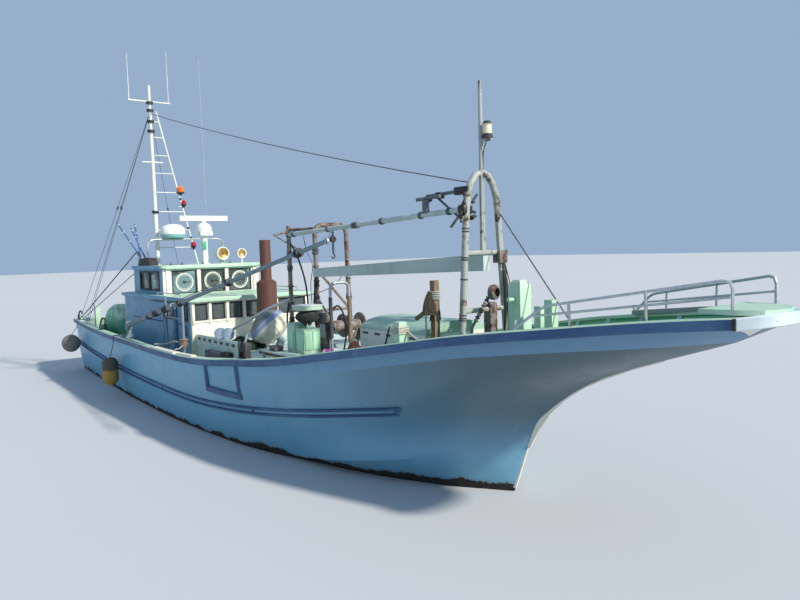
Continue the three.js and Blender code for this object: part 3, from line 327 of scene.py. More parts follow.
def glass(name, tint, weight):
    n = Nodes(name)
    film = n.ramp(n.noise(3, detail=5), .45, .75, .03, .16)
    n.set(Base_Color=tint, Transmission_Weight=weight, IOR=1.45, Roughness=film)
    return n.material


def hull_paint():
    """Pale blue topsides, greyer to the bow and darkest under its flare as painted shade, and a black, fouled
    bottom.
    """
    n = Nodes("hull_topsides")
    x, z = n.axis("X"), n.axis("Z")
    aft, fore, low = (.13, .4, .58), (.12, .29, .44), (.18, .48, .62)
    # greyer to the bow: painted shade of the flaring bow sections
    base = n.mix(n.ramp(x, -1.5, 8.5), aft, fore)
    base = n.mix(n.ramp(z, .9, .1, 0, .45), base, low)
    bands = n.ramp(n.noise(1.1, (1, 1, .12), detail=6), .35, .7)
    base = n.mix(n.math("MULTIPLY", bands, .4), base, (.22, .42, .53))
    # painted shade under the bow's flare, which faces down
    under = n.math("MULTIPLY", n.ramp(x, 5, 9.2), n.ramp(z, .5, 1.25))
    base = n.mix(n.math("MULTIPLY", under, .9), base, (.06, .1, .11))
    streaks = n.ramp(n.noise(5, (1, 1, .035), detail=8), .55, .78, 0, .3)
    base = n.mix(streaks, base, (.1, .2, .26))
    scuffs = n.ramp(n.noise(30, (.25, .25, 1), detail=6), .66, .74, 0, .35)
    base = n.mix(scuffs, base, (.5, .58, .6))
    spots = n.math("MULTIPLY", n.ramp(n.noise(26, detail=4), .7, .75), .5)
    base = n.mix(spots, base, (.2, .13, .08))
    # growth climbs to an uneven line a hand's breadth above the water
    line = n.math("ADD", n.ramp(n.noise(2.2, (1, 1, .1), detail=8, roughness=.7), .3, .7, .02, .14),
                  n.ramp(x, 2, 6, 0, .05))
    above = n.math("SUBTRACT", z, line)
    slime = n.ramp(above, .06, -.02)
    bottom = n.ramp(above, .012, -.012)
    base = n.mix(n.math("MULTIPLY", slime, .5), base, (.11, .13, .1))
    fouled = n.mix(n.ramp(n.noise(40, detail=8, roughness=.75), .48, .62), (.008, .008, .009),
                   (.075, .055, .035))
    base = n.mix(bottom, base, fouled)
    n.set(Base_Color=base, Roughness=n.blend(bottom, n.ramp(n.noise(4), .3, .7, .3, .42), .9))
    n.bump(n.blend(bottom, n.noise(3.5, detail=2), n.noise(70, detail=8, roughness=.8)),
           n.blend(bottom, .12, .8), .012)
    return n.material


def strake_paint():
    """The pale strake under the rail, greyer to the bow, with a white patch at the stem head."""
    n = Nodes("strake_blue")
    x, z = n.axis("X"), n.axis("Z")
    base = n.mix(n.ramp(x, 1, 9), (.15, .42, .6), (.12, .26, .41))
    streaks = n.ramp(n.noise(7, (1, 1, .09), detail=6), .52, .74, 0, .25)
    base = n.mix(streaks, base, (.1, .2, .26))
    edge = n.math("SUBTRACT", x, n.ramp(n.noise(9, detail=5), .3, .7, -.03, .03))
    patch = n.math("MULTIPLY", n.ramp(edge, 11.14, 11.17), n.ramp(z, 2.54, 2.52))
    n.set(Base_Color=n.mix(patch, base, (.8, .8, .74)), Roughness=n.ramp(n.noise(4), .3, .7, .32, .46))
    n.bump(n.noise(60, detail=3), .15, .004)
    return n.material


def two_tone(name, low, high, z, blur, rough, bump=.3):
    """One colour below a height and another above it."""
    n = Nodes(name)
    level = n.math("SUBTRACT", n.axis("Z"), n.ramp(n.noise(6, detail=5), .3, .7, -blur, blur))
    base = n.mix(n.ramp(level, z - blur - .004, z + blur + .004), low, high)
    dirt = n.ramp(n.noise(9, detail=7, roughness=.7), .5, .8, 0, .5)
    n.set(Base_Color=n.mix(dirt, base, (.12, .11, .09)), Roughness=rough)
    n.bump(n.noise(40, detail=5), bump, .004)
    return n.material


def lantern_finish():
    """A dark foot and cap with a pale glass between them."""
    n = Nodes("lantern")
    z = n.axis("Z")
    band = n.math("MULTIPLY", n.ramp(z, 4.795, 4.8), n.ramp(z, 4.925, 4.92))
    n.set(Base_Color=n.mix(band, (.03, .035, .04), (.75, .7, .5)), Roughness=n.blend(band, .6, .2))
    n.bump(n.noise(60), .2, .003)
    return n.material


def net_cloth(name, colour, shade, scale=70):
    """Heaped netting: crossing cords, with painted shade in the dark openings between them."""
    n = Nodes(name)
    # near-black openings between the cords: painted shade
    gap_shade = n.math("MULTIPLY", n.ramp(n.wave(scale, "X", 6), .25, .6), n.ramp(n.wave(scale, "Z", 6), .25, .6))
    base = n.mix(n.ramp(n.noise(9, detail=5), .35, .65), colour, shade)
    n.set(Base_Color=n.mix(gap_shade, (.012, .014, .012), base), Roughness=.9)
    n.bump(gap_shade, .9, .012)
    return n.material


def rope_twist(name, colour, shade):
    n = Nodes(name)
    n.set(Base_Color=n.mix(n.ramp(n.noise(40, detail=6), .35, .65), colour, shade), Roughness=.85)
    n.bump(n.wave(45, "DIAGONAL", 1.5), .7, .004)
    return n.material


def timber(name, colour, shade):
    n = Nodes(name)
    grain = n.noise(9, (6, 6, .5), detail=8, roughness=.7)
    n.set(Base_Color=n.mix(n.ramp(grain, .35, .65), colour, shade), Roughness=.82)
    n.bump(grain, .5, .006)
    return n.material


def tarpaulin():
    """Coated cloth: deep green below, with a painted highlight that makes the upper folds paler."""
    n = Nodes("tarpaulin_cloth")
    high = n.math("SUBTRACT", n.axis("Z"), n.ramp(n.noise(2.4, detail=5), .3, .7, -.28, .28))
    # painted highlight: paler cloth towards the top
    painted_highlight = n.ramp(high, 1.5, 1.95)
    patches = n.ramp(n.noise(3.3, (1, 1, .6), detail=7), .42, .58)
    green = n.mix(patches, (.02, .17, .08), (.07, .42, .2))
    pale = n.mix(patches, (.55, .75, .62), (.2, .5, .33))
    n.set(Base_Color=n.mix(n.math("MULTIPLY", painted_highlight, .85), green, pale), Roughness=.55)
    weave = n.math("ADD", n.wave(150, "X"), n.wave(150, "Z"))
    n.bump(n.math("ADD", n.math("MULTIPLY", weave, .15), n.noise(7, detail=6)), .35, .02)
    return n.material


# Weathered paints. Columns: colour, other shade, roughness, rust, grime, wear of edges, colour of the grime
PAINTS = {
    "guard": ((.026, .08, .2), (.05, .14, .27), .5, .04, .25, .35, (.13, .2, .27)),
    "mint": ((.47, .65, .5), (.38, .57, .45), .45, .4, .3),
    "deck": ((.08, .36, .17), (.16, .46, .25), .7, .3, .55, .2, (.2, .26, .2)),
    "working_deck": ((.2, .3, .27), (.3, .36, .31), .75, .5, .7, .2),
    "white": ((.72, .74, .68), (.62, .66, .6), .45, .35, .3),
    "cream": ((.78, .76, .66), (.7, .7, .6), .45, .3, .25),
    # Blue of the house's side walls and the roofs' side edges: painted shade, on walls whose fronts are cream
    # and mint
    "side": ((.12, .3, .47), (.16, .36, .53), .42, .2, .3, .3),
    "bulwark_inside": ((.3, .5, .46), (.4, .56, .5), .5, .4, .5, .3),
    "grey_steel": ((.15, .22, .26), (.2, .27, .3), .5, .45, .3),
    "beam": ((.42, .53, .52), (.5, .58, .54), .5, .35, .35),
    "plastic": ((.75, .78, .76), (.66, .7, .69), .32, .06, .15, .05),
    "casing": ((.66, .76, .68), (.56, .7, .66), .5, .5, .5),
    "door_blue": ((.02, .06, .2), (.04, .1, .27), .45, .1, .2, .2),
    "mint_bright": ((.46, .82, .55), (.4, .74, .48), .4, .15, .2, .3),
    "drum_cream": ((.74, .74, .62), (.62, .62, .5), .5, .75, .5, .6),
    "drum_blue": ((.26, .32, .5), (.2, .27, .42), .5, .2, .3, .4),
    # the drum's dark grey top: painted shade of its side turned from the sun
    "drum_grey": ((.14, .19, .22), (.17, .18, .13), .5, .35, .5, .5),
    "disc_blue": ((.22, .31, .42), (.28, .38, .48), .4, .25, .3, .4),
    "frame_dark": ((.05, .075, .1), (.1, .13, .15), .45, .3, .3, .5),
    "nose_paint": ((.62, .7, .72), (.3, .52, .64), .5, .1, .6, .5, (.3, .45, .56)),
}
# Rusty steel. Columns: old paint, share of it that is left, size of the patches, tint of the rust
RUSTY = {
    "rust": ((.17, .15, .14), .6, 7, (.13, .075, .05)),
    "stack": ((.105, .042, .028), .85, 1.6, (.16, .06, .035)),
    "brown_steel": ((.2, .18, .165), .68, 6, (.12, .07, .045)),
    "frame_steel": ((.36, .38, .36), .75, 5, (.12, .085, .065)),
}
# Plain surfaces. Columns: colour, other shade, roughness, metal, size of the patches, bump, its fineness
PLAIN = {
    "galvanised": ((.52, .56, .57), (.38, .43, .46), .42, .65, 26, .1),
    "steel": ((.36, .36, .36), (.22, .2, .18), .4, .85, 9, .2),
    "black": ((.012, .012, .013), (.03, .03, .03), .55, 0, 8, .3),
    "rubber": ((.2, .18, .15), (.3, .26, .19), .75, 0, 4, .4, 40),
    "wire": ((.1, .09, .08), (.2, .18, .16), .5, .6, 30, .6, 300),
    "orange": ((.8, .2, .015), (.6, .12, .01), .25, 0, 5, .05),
    "red": ((.5, .01, .012), (.34, .006, .01), .25, 0, 5, .05),
    "amber": ((.42, .22, .05), (.65, .42, .14), .3, .7, 5, .1),
    "pink": ((.55, .25, .33), (.24, .1, .3), .9, 0, 9, .5, 90),
    "bronze": ((.36, .25, .09), (.2, .17, .08), .42, .9, 8, .3),
    "bottom": ((.012, .012, .014), (.05, .04, .03), .85, 0, 12, .6, 60),
    "gasket": ((.016, .02, .024), (.035, .04, .045), .5, 0, 8, .15),
    "trim_brown": ((.06, .04, .028), (.03, .028, .03), .5, 0, 8, .2),
    "purple_grey": ((.11, .1, .15), (.15, .14, .18), .6, 0, 5, .2),
    "green_box": ((.05, .4, .2), (.04, .32, .16), .4, 0, 5, .1),
    "purple": ((.2, .09, .26), (.3, .14, .36), .9, 0, 9, .5, 90),
    "olive_bag": ((.05, .055, .035), (.09, .095, .06), .85, 0, 7, .5, 70),
}
# Wood, ropes and nets. Columns: colour, other shade
TIMBER = {
    "timber": ((.25, .19, .13), (.14, .09, .06)),
    "pole_blue": ((.05, .13, .32), (.1, .2, .4)),
    "clamp_pink": ((.4, .25, .2), (.28, .17, .13)),
    "plank_grey": ((.34, .36, .36), (.24, .26, .26)),
}
ROPES = {"rope": ((.55, .53, .47), (.38, .36, .31)), "dark_rope": ((.05, .06, .08), (.1, .1, .11))}
NETS = {
    "green_net": ((.03, .12, .07), (.06, .2, .12), 70),
    "red_net": ((.3, .07, .04), (.42, .14, .07), 70),
    "grey_net": ((.22, .23, .24), (.32, .33, .34), 90),
    "brown_net": ((.2, .14, .1), (.3, .22, .16), 90),
}
MATERIALS = {
    "hull": hull_paint(),
    "strake": strake_paint(),
    "lantern": lantern_finish(),
    "tarpaulin": tarpaulin(),
    "long_fender": two_tone("long_fender", (.42, .26, .05), (.09, .085, .05), .68, .02, .65),
    "radome": two_tone("radome", (.25, .5, .5), (.76, .79, .78), 3.83, .001, .3, .05),
    "trunk": two_tone("trunk", (.72, .72, .64), (.34, .5, .42), 2.075, .003, .5, .2),
    "window": glass("window", (.1, .12, .13), .25),
    "clear": glass("clear", (.75, .9, .82), .95),
}
for make, table in ((painted, PAINTS), (rusty, RUSTY), (plain, PLAIN), (timber, TIMBER), (rope_twist, ROPES),
                    (net_cloth, NETS)):
    for look, row in table.items():
        MATERIALS[look] = make(look, *row)


# Mesh helpers
SHARP = math.radians(32)


def upright_frame(way):
    """Two directions square to a direction."""
    way = Vector(way).normalized()
    side = way.cross(Vector((0, 0, 1)))
    if side.length < .05:
        side = way.cross(Vector((0, 1, 0)))
    side.normalize()
    return side, side.cross(way).normalized()


def circle(centre, across, up, radius, sides):
    return [centre + (across * math.cos(a) + up * math.sin(a)) * radius
            for a in (math.tau * i / sides for i in range(sides))]


class Piece:
    """One object: every call adds surfaces in the material in use."""

    def __init__(self, name, material, slot, body="boat"):
        self.name, self.slot, self.body = name, slot, body
        self.bm = bmesh.new()
        self.materials = []
        self.use(material)

    def use(self, material):
        if material not in self.materials:
            self.materials.append(material)
        self.index = self.materials.index(material)
        return self

    def add(self, points, faces):
        verts = [self.bm.verts.new(p) for p in points]
        made = [self.bm.faces.new([verts[i] for i in dict.fromkeys(corners)])
                for corners in faces if len({*corners}) > 2]
        for face in made:
            face.material_index = self.index
        return made

    def skin(self, sections, caps=True, look=None):
        """Closed rings joined one to the next; look names a face's material from its ring and place."""
        count = len(sections[0])
        end = (len(sections) - 1) * count
        spots = [(r, i) for r in range(len(sections) - 1) for i in range(count)]
        faces = [(r * count + i, r * count + j, (r + 1) * count + j, (r + 1) * count + i)
                 for r, i, j in ((r, i, (i + 1) % count) for r, i in spots)]
        if caps:
            faces += [tuple(range(count))[::-1], tuple(range(end, end + count))]
            spots += [spots[0], spots[-1]]
        made = self.add([p for ring in sections for p in ring], faces)
        if look:
            for face, (r, i) in zip(made, spots):
                face.material_index = self.use(look(r, i)).index
        return self

    def tube(self, points, radius, sides=10, caps=True, end=None):
        """A round bar along points, from radius to end."""
        path = [Vector(p) for p in points]
        ways = [(b - a).normalized() for a, b in zip(path, path[1:])]
        ways = [ways[0], *[(a + b).normalized() for a, b in zip(ways, ways[1:])], ways[-1]]
        across = upright_frame(ways[0])[0]
        rings = []
        for k, (p, way) in enumerate(zip(path, ways)):
            across = (across - way * across.dot(way)).normalized()
            r = radius if end is None else radius + (end - radius) * k / (len(path) - 1)
            rings.append(circle(p, across, across.cross(way), r, sides))
        return self.skin(rings, caps)

    def bent(self, points, radius, sides, steps=6):
        """A round bar bent on a smooth curve through points."""
        return self.tube(curve_through(points, steps), radius, sides)

    def lathe(self, profile, base, way=UP, sides=24):
        """A turned form. The profile holds radius and distance along the way."""
        base, way = Vector(base), Vector(way).normalized()
        across, up = upright_frame(way)
        return self.skin([circle(base + way * h, across, up, max(r, 1e-4), sides) for r, h in profile], False)

    def band(self, shape, base, way, sides):
        """A turned band. Its shape is the inner and outer radius and half the width at each."""
        inner, outer, wide, narrow = shape
        profile = [(inner, -wide), (outer, -narrow), (outer, narrow), (inner, wide)]
        return self.lathe(profile, base, way, sides)

    def box(self, x, y, z, bevel=.006, place=None):
        """A block between two corners with broken edges, moved by a matrix if one is given."""
        x, y, z = sorted(x), sorted(y), sorted(z)
        corners = [Vector((a, b, c)) for a in x for b in y for c in z]
        if place is not None:
            corners = [place @ p for p in corners]
        faces = self.add(corners, [(0, 1, 3, 2), (4, 6, 7, 5), (0, 4, 5, 1), (2, 3, 7, 6), (0, 2, 6, 4),
                                   (1, 5, 7, 3)])
        reach = min(bevel, .4 * min(b - a for a, b in (x, y, z)))
        bmesh.ops.bevel(self.bm, geom=list({e: 0 for f in faces for e in f.edges}), offset=reach, segments=2,
                        profile=.5, affect="EDGES", material=-1)
        return self

    def chain(self, start, end, link, wire):
        """Links between two points, each turned a quarter from the last."""
        a, b = Vector(start), Vector(end)
        count = max(1, round((b - a).length / (link * 1.3)))
        way = (b - a).normalized()
        sides = upright_frame(way)
        for k in range(count):
            centre, flat = a.lerp(b, (k + .5) / count), sides[(k + 1) % 2]
            self.tube([centre + way * link * math.cos(t) + flat * link * .55 * math.sin(t)
                       for t in (math.tau * i / 10 for i in range(11))], wire, 5, caps=False)
        return self

    def done(self, *replaced, merge=.00002):
        """Makes the object, which may stand for nodes of the solids."""
        bmesh.ops.remove_doubles(self.bm, verts=self.bm.verts, dist=merge)
        bmesh.ops.dissolve_degenerate(self.bm, edges=self.bm.edges, dist=1e-6)
        bmesh.ops.recalc_face_normals(self.bm, faces=self.bm.faces)
        for face in self.bm.faces:
            face.smooth = True
        for edge in self.bm.edges:
            edge.smooth = len(edge.link_faces) == 2 and edge.calc_face_angle(math.pi) < SHARP
        mesh = bpy.data.meshes.new(self.name)
        self.bm.to_mesh(mesh)
        self.bm.free()
        for material in self.materials:
            mesh.materials.append(MATERIALS[material])
        obj = bpy.data.objects.new(self.name, mesh)
        bpy.context.scene.collection.objects.link(obj)
        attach(obj, self.body)
        if replaced:
            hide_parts(*replaced)
        return obj


def lumps(piece, centres, seed, rough=.3, rings=9, sides=14):
    """Heaped soft lumps. Columns of centres: x, y, z of the foot, reach in x, y and z."""
    rng = random.Random(seed)
    for x, y, z, rx, ry, rz in centres:
        phase = [rng.uniform(0, math.tau) for _ in range(4)]
        sections = []
        for h in (math.pi / 2 * r / (rings - 1) for r in range(rings)):
            ring = []
            for a in (math.tau * k / sides for k in range(sides)):
                wave = .5 * math.sin(2 * a + phase[0] + h) + .3 * math.sin(3 * a + phase[1] - 2 * h)
                wave += .2 * math.sin(5 * a + phase[2] + 3 * h)
                out = math.cos(h) * (1 + rough * wave)
                high = math.sin(h) * (1 + rough * .3 * math.sin(2 * a + phase[3]))
                ring.append((x + rx * out * math.cos(a), y + ry * out * math.sin(a), z + rz * high))
            sections.append(ring)
        piece.skin(sections)


# Hull
def hull_shell():
    """One closed skin with bulwarks, decks and the foredeck's step."""
    first, last = ROWS["sheer"][0][0], ROWS["sheer"][-1][0]
    steps = [k / HULL_STATIONS for k in range(HULL_STATIONS + 1)]
    shares = [t + .1 * math.sin(math.pi * t) for t in steps]
    shares += [(x - first) / (last - first) + beside for x in (WELL_AFT, STEP_X, WELL_FORE)
               for beside in (-1e-4, 1e-4)]
    rings = []
    for share in sorted(shares):
        outer = side_line({n: row_point(n, t[0][0] + share * (t[-1][0] - t[0][0])) for n, t in ROWS.items()})
        rim = outer[0]
        x = rim.x
        inner_y = max(rim.y - BULWARK, .02)
        deck, foot = rim.z, inner_y
        if WELL_AFT < x < WELL_FORE:
            deck = deck_z(x)
            foot = max(min(half_breadth(x, deck) - BULWARK, inner_y + .3), .015)
        wall = [(inner_y, rim.z), ((inner_y + foot) / 2, (rim.z + deck) / 2), (foot, deck), (foot / 2, deck),
                (0, deck)]
        half = outer[::-1] + [Vector((x, y, z)) for y, z in wall]
        rings.append(half + [Vector((p.x, -p.y, p.z)) for p in half[-2:0:-1]])
    count = len(outer)

    def look(r, i):
        """Names the material of a face from its place around the ring, counted from the keel."""
        i = min(i, 2 * (count + len(wall)) - 3 - i)
        aft = rings[r][0].x < STEP_X and rings[r][count].x < STEP_X
        for end, name in ((count - 4, "hull"), (count - 1, "strake"), (count, "mint"),
                          (count + 2, "bulwark_inside" if aft else "deck")):
            if i < end:
                return name
        return "working_deck" if aft else "deck"

    shell = Piece("hull_shell", "hull", "hull_blue")
    shell.skin(rings, look=look)
    shell.done("hull", "bulwark_starboard", "bulwark_port", merge=1e-6)


def rail_cap():
    """The cap with its guard along both sides and across the transom: mint on top, blue outside."""
    cap = Piece("sheer_cap", "mint", "trim_blue")
    first, steps = ROWS["sheer"][0][0], 170
    for side in (1, -1):
        rings = []
        for k in range(steps + 1):
            x, y, z = row_point("sheer", first + (CAP_FORE - first) * k / steps)
            z += .0003
            inner, outer = max(y - CAP_INSIDE, .04), y + CAP_OUTSIDE
            low, top = z - GUARD_DEPTH, z + CAP_HEIGHT
            ring = [(inner, z), (y - .004, z), (y - .004, low), (outer - .014, low),
                    (outer - .003, low + .012), (outer, low + .035), (outer, top - .014), (outer - .012, top),
                    (inner + .01, top), (inner + .001, z + .032)]
            rings.append([(x, -side * a, b) for a, b in ring])
        cap.skin(rings, look=lambda r, i: "guard" if 1 <= i <= 5 else "mint")
    stern = row_point("sheer", first)
    wide = stern.y + CAP_OUTSIDE - .002
    cap.use("mint").box((first - .06, first + .11), (-wide, wide),
                        (stern.z + .001, stern.z + CAP_HEIGHT + .0003), .01)
    cap.use("guard").box((first - .061, first + .01), (-wide, wide),
                         (stern.z - GUARD_DEPTH, stern.z + CAP_HEIGHT - .012), .008)
    cap.done("sheer_rail_starboard", "sheer_rail_port")


def side_band(piece, x_from, x_to, z_at, proud, height, steps, side, round_face=False):
    """A band on the hull's side that follows its curve, centred on z_at(x)."""
    rings = []
    for k in range(steps + 1):
        x = x_from + (x_to - x_from) * k / steps
        z = z_at(x)
        low, high = z - height / 2, z + height / 2
        out = proud * .3 if k in (0, steps) else proud
        a, m, b = (half_breadth(x, level) for level in (low, z, high))
        face = [(a + out - .006, low), (a + out, low + .006), (b + out, high - .006), (b + out - .006, high)]
        if round_face:
            face = [(a + out * .45, low), (a + out * .85, low + height * .2), (m + out, z),
                    (b + out * .85, high - height * .2), (b + out * .45, high)]
        rings.append([(x, -side * y, h) for y, h in [(a - .02, low), *face, (b - .02, high)]])
    piece.skin(rings)


STRIP_LINE = [(-7.9, .82), (-4, .73), (0, .65), (2.08, .64), (4.5, .79), (7.15, 1.14)]
STRIP_AFT, STRIP_FORE, STRIP_PROUD, STRIP_HEIGHT, STRIP_APART = -7.9, 7.15, .04, .042, .09
STRIP_SEATS = (-7.9, -3.8, .3, 4)
GATE_AFT, GATE_FORE, GATE_LOW, GATE_BAR = 2.6, 3.8, .9, .095


def side_bands():
    """Twin strips along each side and the frame of the side gate."""
    strips = Piece("side_strips", "guard", "trim_blue")
    gate = Piece("side_gate_frame", "guard", "trim_blue")
    centre = lambda x: smooth(STRIP_LINE, x)[0]
    for side in (1, -1):
        for shift, fore in ((-STRIP_APART / 2, STRIP_FORE - .1), (STRIP_APART / 2, STRIP_FORE)):
            side_band(strips, STRIP_AFT, fore, lambda x: centre(x) + shift, STRIP_PROUD, STRIP_HEIGHT, 400,
                      side, True)
        for k in range(5):
            x, z = STRIP_FORE - .155 + .025 * k, centre(STRIP_FORE - .05) + .0275 * (k - 2)
            side_band(strips, x, x + .055, lambda _: z, STRIP_PROUD, .034, 3, side)
        for x in STRIP_SEATS:
            proud = STRIP_PROUD if x == STRIP_AFT else STRIP_PROUD * .6
            side_band(strips, x, x + .05, centre, proud, STRIP_APART + STRIP_HEIGHT, 2, side)
        for x in (GATE_AFT, GATE_FORE - GATE_BAR):
            step = (row_point("sheer", x).z - GUARD_DEPTH + .01 - GATE_LOW) / 4
            for k in range(4):
                side_band(gate, x, x + GATE_BAR, lambda _: GATE_LOW + step * (k + .5), .04, step, 3, side)
        side_band(gate, GATE_AFT, GATE_FORE, lambda _: GATE_LOW + GATE_BAR / 2, .041, GATE_BAR, 16, side)
    strips.done("side_guard_starboard", "side_guard_port")
    gate.done()


POST_X, POST_Y, POST_HALF = 7.33, 1.35, .0675


def bulwark_fittings():
    """Frames inside the bulwarks, and the fore mooring posts."""
    frames = Piece("bulwark_frames", "bulwark_inside", "mint")
    x = -7.4
    while x < 10:
        if not GATE_AFT - .2 < x < GATE_FORE + .2 and abs(x - STEP_X) > .15:
            rim, low = row_point("sheer", x), deck_z(x)
            foot, head, high = half_breadth(x, low) - BULWARK + .004, rim.y - BULWARK + .004, rim.z + .001
            outline = ((foot, low), (foot - .09, low), (head - .03, high), (head, high))
            for side in (1, -1):
                frames.skin([[(end, -side * y, z) for y, z in outline] for end in (x - .03, x + .03)])
        x += .62
    frames.done()

    posts = Piece("fore_mooring_posts", "mint", "mint")
    for y in (-POST_Y, POST_Y):
        posts.box((POST_X - POST_HALF, POST_X + POST_HALF), (y - POST_HALF, y + POST_HALF),
                  (deck_z(POST_X) - .01, 2.37), .016)
        posts.box((7.28, 7.38), (y, y + math.copysign(.1275, y)), (1.88, 2), .01)
    posts.done()


# Windows and trim of the deckhouse
SIDE_WALLS = {"starboard": -1, "port": 1}
DOOR_FACE, DOOR_SLAB = HOUSE_HALF + .005, .035
FRONT_PITCH, WHEEL_PITCH = .39, .7
CLEAR_VIEW_RADIUS, CLEAR_VIEW_Z = .215, 2.665


def on_wall(facing, distance, along, up):
    """A place on a wall that faces fore, aft, starboard or port."""
    out = {"fore": (1, 0, 0), "aft": (-1, 0, 0), "starboard": (0, -1, 0), "port": (0, 1, 0)}[facing]
    out, height = Vector(out), Vector((0, 0, 1))
    right = height.cross(out)
    turn = Matrix((right, height, out)).transposed().to_4x4()
    return Matrix.Translation(out * distance + right * along + height * up) @ turn


# Columns: facing, distance of the face, its two sides, foot, head, frame, bar, proud, pane, body
WINDOWS = [("fore", HOUSE_FORE, k * FRONT_PITCH - .135, k * FRONT_PITCH + .135, 1.945, 2.265, "gasket", .014,
            .012, "window", "boat") for k in range(-3, 4)]
WINDOWS += [("fore", WHEEL_FORE, y - .28, y + .28, 2.415, 2.93, "gasket", .018, .014, "clear", "boat")
            for y in (-WHEEL_PITCH, 0, WHEEL_PITCH)]
WINDOWS.append(("aft", -WHEEL_AFT, -.5, .5, 2.5, 2.9, "gasket", .02, .015, "clear", "boat"))
for side, sign in SIDE_WALLS.items():
    WINDOWS += [
        (side, WHEEL_HALF, sign * 3.21, sign * 2.6, 2.5, 2.91, "gasket", .03, .018, "clear", "boat"),
        (side, WHEEL_HALF, sign * 2.53, sign * 1.92, 2.5, 2.91, "gasket", .03, .018, "clear", "boat"),
        (side, HOUSE_HALF, sign * .08, sign * -.19, 1.93, 2.28, "trim_brown", .03, .02, "window", "boat"),
        (side, DOOR_FACE + DOOR_SLAB, sign * 1.04, sign * .53, 1.94, 2.18, "trim_brown", .025, .012, "window",
         "door_" + side),
    ]


def opening_frame(piece, wide, tall, reach, bar, depth, bevel, place):
    """Four bars that frame an opening, out to a reach beyond it."""
    right, top = wide + reach, tall + reach
    for x in ((-reach, bar - reach), (right - bar, right)):
        piece.box(x, (-reach, top), depth, bevel, place)
    for y in ((-reach, bar - reach), (top - bar, top)):
        piece.box((bar - reach, right - bar), y, depth, bevel, place)


def windows():
    """Panes set inside the walls, with dark gaskets round them."""
    pieces = {}
    for facing, distance, a, b, low, high, look, bar, proud, pane, body in WINDOWS:
        wide, tall = abs(b - a), high - low
        place = on_wall(facing, distance, min(a, b), low)
        if (pane, body) not in pieces:
            pieces[pane, body] = (Piece(f"panes_{pane}_{body}", pane, "plastic", body),
                                  Piece(f"gaskets_{pane}_{body}", look, "rubber", body))
        panes, gaskets = pieces[pane, body]
        panes.box((-.004, wide + .004), (-.004, tall + .004), (-.026, -.02), .001, place)
        opening_frame(gaskets.use(look), wide, tall, bar, bar, (-.004, proud), .003, place)
        opening_frame(gaskets, wide, tall, 0, .012, (-.03, .001), .002, place)
    for kind in zip(*pieces.values()):
        for piece in kind:
            piece.done()


